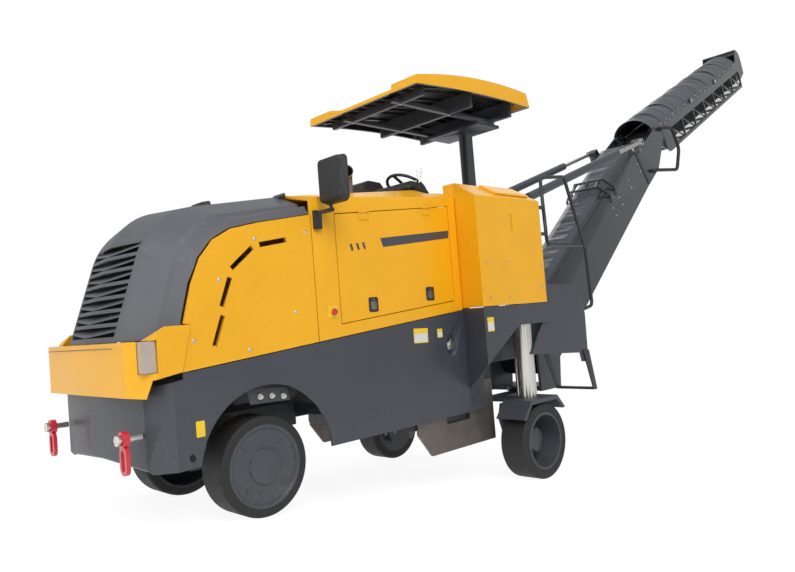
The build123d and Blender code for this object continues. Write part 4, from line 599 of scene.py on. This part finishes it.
# door latches with their paddles and locks, grey stripe and ticks
latch = dict(places=((-989, 1342), (-1626, 1402)), width=96, height=112, corner=16, rise=5, edge=4)
paddle = dict(width=58, height=62, corner=10, drop=6, rise=3, edge=3)
lock = dict(up=38, profile=[(9, 0), (9, 3), (7, 4)])
stripe = dict(outline=((-1111, 1851), (-1136, 1781), (-1909, 1868), (-1917, 1933)), thick=0.7)
ticks = dict(count=3, first=(-796, 1800), step=(-62, 7), outline=((0, 0), (-22, 2), (-36, -48), (-14, -50)))
for name, side in sides.items():
    faceY, paddleY = side * walls["body"], side * (walls["body"] + latch["rise"])
    work = bmesh.new()
    for x, z in latch["places"]:
        rim = sideRect(x, faceY, z, latch["width"], latch["height"], latch["corner"])
        addPlate(work, rim, (0, side, 0), latch["rise"], edge=latch["edge"])
    finishWork("door_latches_" + name, work, "plastic", "door_" + name)
    work = bmesh.new()
    for x, z in latch["places"]:
        corners = sideRect(x, paddleY, z - paddle["drop"],
                           paddle["width"], paddle["height"], paddle["corner"])
        addPlate(work, corners, (0, side, 0), paddle["rise"], edge=paddle["edge"])
        addRound(work, (x, paddleY, z + lock["up"]), (0, side, 0), lock["profile"], segments=20)
    finishWork("latch_paddles_" + name, work, "worn", "door_" + name)
    work = bmesh.new()
    addPlate(work, [(x, faceY, z) for x, z in stripe["outline"]], (0, side, 0), stripe["thick"])
    for tick in range(ticks["count"]):
        tickX, tickZ = (start + tick * step for start, step in zip(ticks["first"], ticks["step"]))
        corners = [(tickX + x, faceY, tickZ + z) for x, z in ticks["outline"]]
        addPlate(work, corners, (0, side, 0), stripe["thick"])
    finishWork("door_stripe_" + name, work, "stripe", "door_" + name)

# stop button on its yellow square, on both sides
stopButton = dict(x=-592, z=1308, profile=[(16, 0), (16, 10), (24, 12), (25, 19), (21, 25), (10, 27)])
stopPlate = dict(size=84, corner=6, rise=4, edge=2)
work, square = bmesh.new(), bmesh.new()
for side in sides.values():
    corners = sideRect(stopButton["x"], side * walls["body"], stopButton["z"],
                       stopPlate["size"], stopPlate["size"], stopPlate["corner"])
    addPlate(square, corners, (0, side, 0), stopPlate["rise"], edge=stopPlate["edge"])
    foot = (stopButton["x"], side * (walls["body"] + stopPlate["rise"]), stopButton["z"])
    addRound(work, foot, (0, side, 0), stopButton["profile"], segments=28)
finishWork("stop_button_plates", square, "label", "machine")
finishWork("stop_buttons", work, "red", "machine")

# valve with an upright handle in the recess of the frame's side
valve = dict(x=-1849, y=724, z=954, profile=[(40, 0), (40, 12), (26, 14), (26, 24), (14, 26)],
             handleY=740, handleFoot=930, handleTop=1010, handleWidth=14)
work = bmesh.new()
for side in sides.values():
    foot = (valve["x"], side * valve["y"], valve["z"])
    addRound(work, foot, (0, side, 0), valve["profile"], segments=28)
    handle = [(valve["x"], side * valve["handleY"], z) for z in (valve["handleFoot"], valve["handleTop"])]
    addBars(work, handle, valve["handleWidth"], valve["handleWidth"], (0, side, 0))
finishWork("drain_valves", work, "zinc", "machine")

# black plate on the step panel
stepPlate = dict(y=1030, outline=((-2984, 1383), (-3387, 1370), (-3342, 1109), (-2943, 1132)), thick=1.2)
work = bmesh.new()
for side in sides.values():
    corners = [(x, side * stepPlate["y"], z) for x, z in stepPlate["outline"]]
    addPlate(work, corners, (0, side, 0), stepPlate["thick"])
finishWork("step_panel_plates", work, "black", "machine")

# dark core behind the louvres, leaning back and bowed like the nose
grilleCore = dict(noseX=865, noseFootZ=1218, lean=0.341, behind=84, bow=45, bowWidth=380,
                  rowZ=range(1236, 1870, 40), columnY=range(-352, 353, 44))


def coreX(y, z):
    straight = grilleCore["noseX"] - (z - grilleCore["noseFootZ"]) * grilleCore["lean"]
    return straight - grilleCore["behind"] - grilleCore["bow"] * (y / grilleCore["bowWidth"]) ** 2


work = bmesh.new()
joinRows(work, [[work.verts.new((coreX(y, z), y, z)) for y in grilleCore["columnY"]]
                for z in grilleCore["rowZ"]])
finishWork("grille_core", work, "plastic", "hood", angle=60)

# hood cap and lifting eye
hoodCap = dict(place=(-330, 250, 2150), profile=[(46, 0), (46, 26), (40, 32), (20, 34)])
work = bmesh.new()
addRound(work, hoodCap["place"], (0, 0, 1), hoodCap["profile"], segments=32)
finishWork("hood_cap", work, "plastic", "hood")
hoodEye = dict(x=-330, outline=((60, 2170), (60, 2206), (-60, 2206), (-60, 2170)), radius=8, bend=20)
addTubes("hood_lifting_eye", [[(hoodEye["x"], y, z) for y, z in hoodEye["outline"]]],
         hoodEye["radius"], hoodEye["bend"], "black", "hood")

# thin seam along the bumper's face, a little under its ledge
seam = dict(x=905.2, z=1184, y=(-560, -280, 0, 280, 560), depth=1.2, height=5)
work = bmesh.new()
addBars(work, [(seam["x"], y, seam["z"]) for y in seam["y"]], seam["depth"], seam["height"])
finishWork("bumper_seam", work, "stripe", "machine")

# mirror glass, facing the operator
glassForm = dict(x=-570, y=932, z=2225, width=238, height=300, corner=34, thick=1.5)
work = bmesh.new()
for side in sides.values():
    corners = roundedRect((glassForm["x"], side * glassForm["y"], glassForm["z"]), (0, 1, 0), (0, 0, 1),
                          glassForm["width"], glassForm["height"], glassForm["corner"])
    addPlate(work, corners, (-1, 0, 0), glassForm["thick"])
finishWork("mirror_glass", work, "mirror", "machine")
print("trim: done")

# dials and switches on the console's sloping desk
desk = dict(normal=(-90, 0, 75), dialX=-2030, dialZ=2493, dials=((-350, 42), (-240, 34)))  # dials: y, radius
dialForm = dict(rimWidth=6, rimHeight=8, rimEdge=1, faceHeight=5, faceGap=1, faceThick=1)
keyForm = dict(rows=2, columns=5, first=(-2036, 60, 2392), rowStep=(-22, 0, -20), columnStep=(0, 60, 0),
               width=30, height=18, corner=4, rise=8, edge=3)
deskNormal = Vector(desk["normal"]).normalized()
deskDown = deskNormal.cross(Vector((0, 1, 0)))
work, keys, faces = bmesh.new(), bmesh.new(), bmesh.new()
for y, radius in desk["dials"]:
    centre = Vector((desk["dialX"], y, desk["dialZ"]))
    inner = radius - dialForm["rimWidth"]
    rim = [(radius, 0), (radius, dialForm["rimHeight"]),
           (inner + dialForm["rimEdge"], dialForm["rimHeight"] + dialForm["rimEdge"]),
           (inner, dialForm["faceHeight"])]
    addRound(work, centre, deskNormal, rim, segments=32)
    faceRadius = inner - dialForm["faceGap"]
    addRound(faces, centre + deskNormal * dialForm["faceHeight"], deskNormal,
             [(faceRadius, 0), (faceRadius, dialForm["faceThick"])], segments=32)
for row in range(keyForm["rows"]):
    for column in range(keyForm["columns"]):
        centre = (Vector(keyForm["first"]) + row * Vector(keyForm["rowStep"])
                  + column * Vector(keyForm["columnStep"]))
        corners = roundedRect(centre, (0, 1, 0), deskDown,
                              keyForm["width"], keyForm["height"], keyForm["corner"])
        addPlate(keys, corners, deskNormal, keyForm["rise"], edge=keyForm["edge"])
finishWork("dial_rims", work, "black", "machine")
finishWork("dial_faces", faces, "white", "machine")
finishWork("desk_switches", keys, "red", "machine")

# levers beside the steering wheel
lever = dict(y=(330, 375, -70), route=((-2010, 2420), (-2050, 2520), (-2058, 2560)), radius=7, bend=20)
addTubes("desk_levers", [[(x, y, z) for x, z in lever["route"]] for y in lever["y"]],
         lever["radius"], lever["bend"], "bright", "machine")
print("console: done")


folds = dict(  # three waves across each other, and wide sags along the sheet
    waves=((1.0, 1.0, 2.2), (0.6, 1.7, -3.0), (0.35, 3.1, 5.0)),  # height, frequency, slant
    waveShare=0.42, sagShare=0.5, sags=6, fullTurn=6.28)


def makeClothSheet(name, sheet, section):
    # open sheet along a conveyor: section is (y, up) points, with lengthwise slack and cross folds
    maker = random.Random(sheet["seed"])
    wavePhases = [maker.uniform(0, folds["fullTurn"]) for wave in folds["waves"]]
    sagPhase = maker.uniform(0, folds["fullTurn"])
    work = bmesh.new()
    rows = []
    for i in range(sheet["steps"] + 1):
        share = i / sheet["steps"]
        turn = share * folds["fullTurn"]
        along = sheet["start"] + (sheet["end"] - sheet["start"]) * share
        sag = folds["sagShare"] * (1 - math.cos(turn * folds["sags"] + sagPhase))
        row = []
        for j, (y, up) in enumerate(section):
            across = j / (len(section) - 1)
            middle = math.sin(math.pi * across)
            wave = sum(height * math.sin(sheet["folds"] * frequency * turn + phase + slant * across)
                       for (height, frequency, slant), phase in zip(folds["waves"], wavePhases))
            lift = sheet["bulge"] * middle * (folds["waveShare"] * wave - sag)
            row.append(work.verts.new(onBoom(sheet["boom"], along, up + lift, y)))
        rows.append(row)
    joinRows(work, rows)
    return finishWork(name, work, "cloth", sheet["body"], angle=80)


def arcSection(halfWidth, foot, rise, skirt, clear, count):
    # arc over the straps, with a skirt that hangs down at each side, clear of the chords
    radius = (halfWidth ** 2 + rise ** 2) / (2 * rise)
    turn = math.asin(halfWidth / radius)
    skirtY = halfWidth + clear
    points = [(-skirtY, foot - skirt), (-skirtY, foot - skirt / 2)]
    for i in range(count + 1):
        angle = -turn + 2 * turn * i / count
        points.append((radius * math.sin(angle), foot + rise - radius + radius * math.cos(angle)))
    return points + [(skirtY, foot - skirt / 2), (skirtY, foot - skirt)]


def steppedSection(corners, counts):
    # each straight stretch between corners in equal steps
    points = [corners[0]]
    for (y0, up0), (y1, up1), count in zip(corners, corners[1:], counts):
        points += [(y0 + (y1 - y0) * k / count, up0 + (up1 - up0) * k / count) for k in range(1, count + 1)]
    return points


upperTarpaulin = dict(boom=boomHigh, body="boom_upper", start=-158, end=4008, steps=260,
                      bulge=13, folds=17, seed=4)
upperSection = arcSection(halfWidth=291, foot=150, rise=182, skirt=60, clear=2, count=26)
upperSheet = makeClothSheet("upper_tarpaulin", upperTarpaulin, upperSection)
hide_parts("upper_cover")
lowerTarpaulin = dict(boom=boomLow, body="boom_lower", start=62, end=3416, steps=200,
                      bulge=10, folds=13, seed=9)
lowerSection = steppedSection(((-204, 308), (-120, 336), (120, 336), (204, 308)), (4, 10, 4))
lowerSheet = makeClothSheet("lower_tarpaulin", lowerTarpaulin, lowerSection)
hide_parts("lower_cover")
print("tarpaulins: done")

# black straps that arch under the upper tarpaulin
straps = dict(along=range(200, 4000, 540), drop=2, thick=4, width=26)
work = bmesh.new()
for along in straps["along"]:
    arch = [onBoom(boomHigh, along, up - straps["drop"], y) for y, up in upperSection[1:-1]]
    addBars(work, arch, straps["thick"], straps["width"], boomAxis(boomHigh, 1, 0))
finishWork("tarpaulin_straps", work, "black", "boom_upper", angle=60)

# bolts along the upper conveyor's chords and on the lower conveyor's sides
chordBolts = dict(along=range(-100, 4200, 270), up=112)
rows = [(onBoom(boomHigh, along, chordBolts["up"], side * boomHigh["halfWidth"]), (0, side, 0))
        for along in chordBolts["along"] for side in sides.values()]
addScatter("upper_chord_bolts", hexBolt, rows, "zinc", "boom_upper")
sideBolts = dict(along=(3300, 2900, 2250, 2500), up=(60, -60))
rows = [(onBoom(boomLow, along, up, side * boomLow["halfWidth"]), (0, side, 0))
        for along in sideBolts["along"] for up in sideBolts["up"] for side in sides.values()]
addScatter("lower_side_bolts", hexBolt, rows, "zinc", "boom_lower")

# lashings that hold the tarpaulin's skirts to the upper chords, zigzag between two heights
lashing = dict(start=130, pitch=95, points=40, up=(62, 118), clear=8, radius=4, bend=12)
routes = [[onBoom(boomHigh, lashing["start"] + i * lashing["pitch"], lashing["up"][i % 2],
                  side * (boomHigh["halfWidth"] + lashing["clear"])) for i in range(lashing["points"])]
          for side in sides.values()]
addTubes("skirt_lashings", routes, lashing["radius"], lashing["bend"], "rope", "boom_upper")

# bright hose fittings on a plate at the top of the front arches, placed by x and z
archPlate = dict(y=690, thick=8, outline=((-215, 735), (95, 745), (120, 848), (-190, 826)))
archFitting = dict(places=((-150, 770), (-60, 785), (30, 790)),
                   profile=[(20, 0), (20, 22), (13, 24), (13, 38), (9, 40)])
work, plate = bmesh.new(), bmesh.new()
for side in sides.values():
    corners = [(x, side * archPlate["y"], z) for x, z in archPlate["outline"]]
    addPlate(plate, corners, (0, side, 0), archPlate["thick"])
    for x, z in archFitting["places"]:
        foot = (x, side * (archPlate["y"] + archPlate["thick"]), z)
        addRound(work, foot, (0, side, 0), archFitting["profile"], segments=18)
finishWork("arch_plates", plate, "grey", "machine")
finishWork("arch_fittings", work, "zinc", "machine")

# wire mesh between the truss posts: upright wires, then lengthwise ones
guard = dict(y=278, wire=3, postStart=520, pitch=34, posts=105, foot=-330, top=-60,
             railFoot=-320, railStart=510, railEnd=4090)
work = bmesh.new()
for side in sides.values():
    guardY = side * guard["y"]
    for i in range(guard["posts"]):
        along = guard["postStart"] + i * guard["pitch"]
        post = [onBoom(boomHigh, along, up, guardY) for up in (guard["top"], guard["foot"])]
        addBars(work, post, guard["wire"], guard["wire"], (0, 1, 0))
    for up in range(guard["railFoot"], guard["top"], guard["pitch"]):
        rail = [onBoom(boomHigh, along, up, guardY) for along in (guard["railStart"], guard["railEnd"])]
        addBars(work, rail, guard["wire"], guard["wire"], (0, 1, 0))
finishWork("guard_mesh", work, "black", "boom_upper")

# two work lamps on the left chord and the amber lamp at the tip
workLamp = dict(along=(1500, 2750), up=96, width=96, height=74, corner=14, depth=34, edge=5)
lampGlass = dict(width=76, height=54, corner=9, depth=3, edge=2)
tipLamp = dict(along=4200, up=-120, y=180, profile=[(38, 0), (38, 60), (30, 76), (12, 82)])
work, glass, amber = bmesh.new(), bmesh.new(), bmesh.new()
outward, along, rise = (0, 1, 0), boomAxis(boomHigh, 1, 0), boomAxis(boomHigh, 0, 1)
for lampPlace in workLamp["along"]:
    back = onBoom(boomHigh, lampPlace, workLamp["up"], boomHigh["halfWidth"])
    corners = roundedRect(back, along, rise, workLamp["width"], workLamp["height"], workLamp["corner"])
    addPlate(work, corners, outward, workLamp["depth"], edge=workLamp["edge"])
    front = back + Vector(outward) * workLamp["depth"]
    corners = roundedRect(front, along, rise, lampGlass["width"], lampGlass["height"], lampGlass["corner"])
    addPlate(glass, corners, outward, lampGlass["depth"], edge=lampGlass["edge"])
tip = onBoom(boomHigh, tipLamp["along"], tipLamp["up"], tipLamp["y"])
addRound(amber, tip, outward, tipLamp["profile"], segments=28)
finishWork("work_lamps", work, "black", "boom_upper")
finishWork("work_lamp_glass", glass, "lens", "boom_upper")
finishWork("tip_lamp", amber, "amber", "boom_upper")
print("conveyor: done")


cushionForm = dict(cuts=23, squareness=4.0, crown=0.1, grooveDepth=0.07, grooveWidth=0.045, pull=0.02)


def makeCushion(size, channels):
    # crowned closed pad whose sides pull in between its corners, with sewn channels across its top
    form = cushionForm
    work = bmesh.new()
    bmesh.ops.create_cube(work, size=1.0)
    bmesh.ops.subdivide_edges(work, edges=work.edges, cuts=form["cuts"], use_grid_fill=True)
    for vert in work.verts:
        cube = vert.co * 2
        reach = sum(abs(part) ** form["squareness"] for part in cube) ** (1 / form["squareness"])
        ball = cube / reach * max(abs(part) for part in cube)
        dome = math.cos(math.pi * ball.x / 2) * math.cos(math.pi * ball.y / 2)
        crown = 1 - form["crown"] * (1 - dome)
        groove = 1 - sum(form["grooveDepth"] * math.exp(-((ball.x - place) / form["grooveWidth"]) ** 2)
                         for place in channels)
        pull = 1 - form["pull"] * ((1 - abs(ball.x)) * abs(ball.y) + (1 - abs(ball.y)) * abs(ball.x))
        vert.co = Vector((ball.x * size[0] / 2 * pull, ball.y * size[1] / 2 * pull,
                          ball.z * size[2] / 2 * crown * (groove if ball.z > 0 else 1)))
    return work


cushions = [  # name, middle, size, turn about the cross axis, places of the channels
    ("seat_pan", (-2520, 0, 1680), (470, 470, 98), 0, (-0.45, 0.0, 0.45)),
    ("seat_back", (-2750, 0, 1970), (510, 430, 86), 90, (-0.5, 0.0, 0.5)),
]
for name, middle, size, turn, channels in cushions:
    pad = makeCushion(size, channels)
    pad.transform(Matrix.Translation(middle) @ Matrix.Rotation(math.radians(turn), 4, "Y"))
    finishWork(name, pad, "vinyl", "machine", angle=80)
seatBase = dict(middle=(-2520, 0, 1332), width=250, corner=20, height=296, edge=10)
work = bmesh.new()
corners = roundedRect(seatBase["middle"], (1, 0, 0), (0, 1, 0), seatBase["width"], seatBase["width"],
                      seatBase["corner"])
addPlate(work, corners, (0, 0, 1), seatBase["height"], edge=seatBase["edge"])
basePiece = finishWork("seat_base", work, "plastic", "machine")
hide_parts("operator_seat")
print("seat: done")

# bolts round the front hubs
hub = dict(bolts=8, circle=110, y=666, z=330)
for name, side in sides.items():
    turns = [2 * math.pi * (i + 0.5) / hub["bolts"] for i in range(hub["bolts"])]
    rows = [((hub["circle"] * math.cos(turn), side * hub["y"], hub["z"] + hub["circle"] * math.sin(turn)),
             (0, side, 0)) for turn in turns]
    addScatter("front_hub_bolts_" + name, capScrew, rows, "black", "wheel_front_" + name)
print("wheels: done")


# camera
camera = dict(place=(7.4565, 4.5403, 0.9755), forward=(-0.6926, -0.7114, 0.1188),
              up=(0.0829, 0.0851, 0.9929), lens=30.67, sensor=36.0, farthest=200.0)
cameraData = bpy.data.cameras.new("camera")
cameraData.lens = camera["lens"]
cameraData.sensor_width = camera["sensor"]
cameraData.clip_end = camera["farthest"]
cameraObject = bpy.data.objects.new("camera", cameraData)
scene.collection.objects.link(cameraObject)
forward = Vector(camera["forward"]).normalized()
right = forward.cross(Vector(camera["up"])).normalized()
upward = right.cross(forward)
cameraTurn = Matrix((right, upward, -forward)).transposed()
cameraObject.matrix_world = Matrix.Translation(camera["place"]) @ cameraTurn.to_4x4()
scene.camera = cameraObject
scene.view_settings.view_transform = "Standard"

# pale floor that glows for the camera and in reflections, so that it runs into the white background
stage = dict(colour=(0.8, 0.8, 0.8), rough=0.9, glow=1.14, glowShare=0.8, reach=60.0,
             worldLight=0.5, worldSeen=1.0)


def makeFloorMaterial():
    material = bpy.data.materials.new("floorPale")
    material.use_nodes = True
    tree = material.node_tree
    shader = tree.nodes["Principled BSDF"]
    shader.inputs["Base Color"].default_value = (*stage["colour"], 1)
    shader.inputs["Roughness"].default_value = stage["rough"]
    rays = addNode(tree, "ShaderNodeLightPath").outputs
    seen = addMath(tree, "MAXIMUM", rays["Is Camera Ray"], rays["Is Glossy Ray"])
    seen = addMath(tree, "MAXIMUM", seen, rays["Is Transmission Ray"])
    share = addMath(tree, "MULTIPLY", seen, stage["glowShare"])
    glow = addNode(tree, "ShaderNodeEmission", Strength=stage["glow"])
    mix = addNode(tree, "ShaderNodeMixShader")
    link(tree, share, mix.inputs[0])
    link(tree, shader.outputs[0], mix.inputs[1])
    link(tree, glow.outputs[0], mix.inputs[2])
    link(tree, mix.outputs[0], tree.nodes["Material Output"].inputs["Surface"])
    return material


reach = stage["reach"]
floorMesh = bpy.data.meshes.new("floor")
floorMesh.from_pydata([(-reach, -reach, 0), (reach, -reach, 0), (reach, reach, 0), (-reach, reach, 0)], [],
                      [(0, 1, 2, 3)])
floor = linkPiece("floor", floorMesh)
floor.data.materials.append(makeFloorMaterial())

# white world, brighter to the camera than to the machine
world = bpy.data.worlds.new("studio")
scene.world = world
world.use_nodes = True
background = world.node_tree.nodes["Background"]
background.inputs["Color"].default_value = (1, 1, 1, 1)
cameraRay = addNode(world.node_tree, "ShaderNodeLightPath").outputs["Is Camera Ray"]
worldLevel = addRange(world.node_tree, cameraRay, 0.0, 1.0, stage["worldLight"], stage["worldSeen"])
link(world.node_tree, worldLevel, background.inputs["Strength"])

lampAim = Vector((2.0, 0.0, 1.5))
lamps = [  # name, place, energy, size
    ("keyLamp", (9.5, 11.0, 11.0), 1250, 8.0),
    ("frontLamp", (15.0, 0.5, 7.0), 420, 8.0),
    ("backLamp", (-9.0, -10.0, 12.0), 330, 10.0),
]
for name, place, energy, size in lamps:
    lampData = bpy.data.lights.new(name, "AREA")
    lampData.energy = energy
    lampData.size = size
    lamp = bpy.data.objects.new(name, lampData)
    scene.collection.objects.link(lamp)
    lamp.location = place
    lamp.rotation_euler = (lampAim - Vector(place)).to_track_quat("-Z", "Y").to_euler()
print("stage: done")
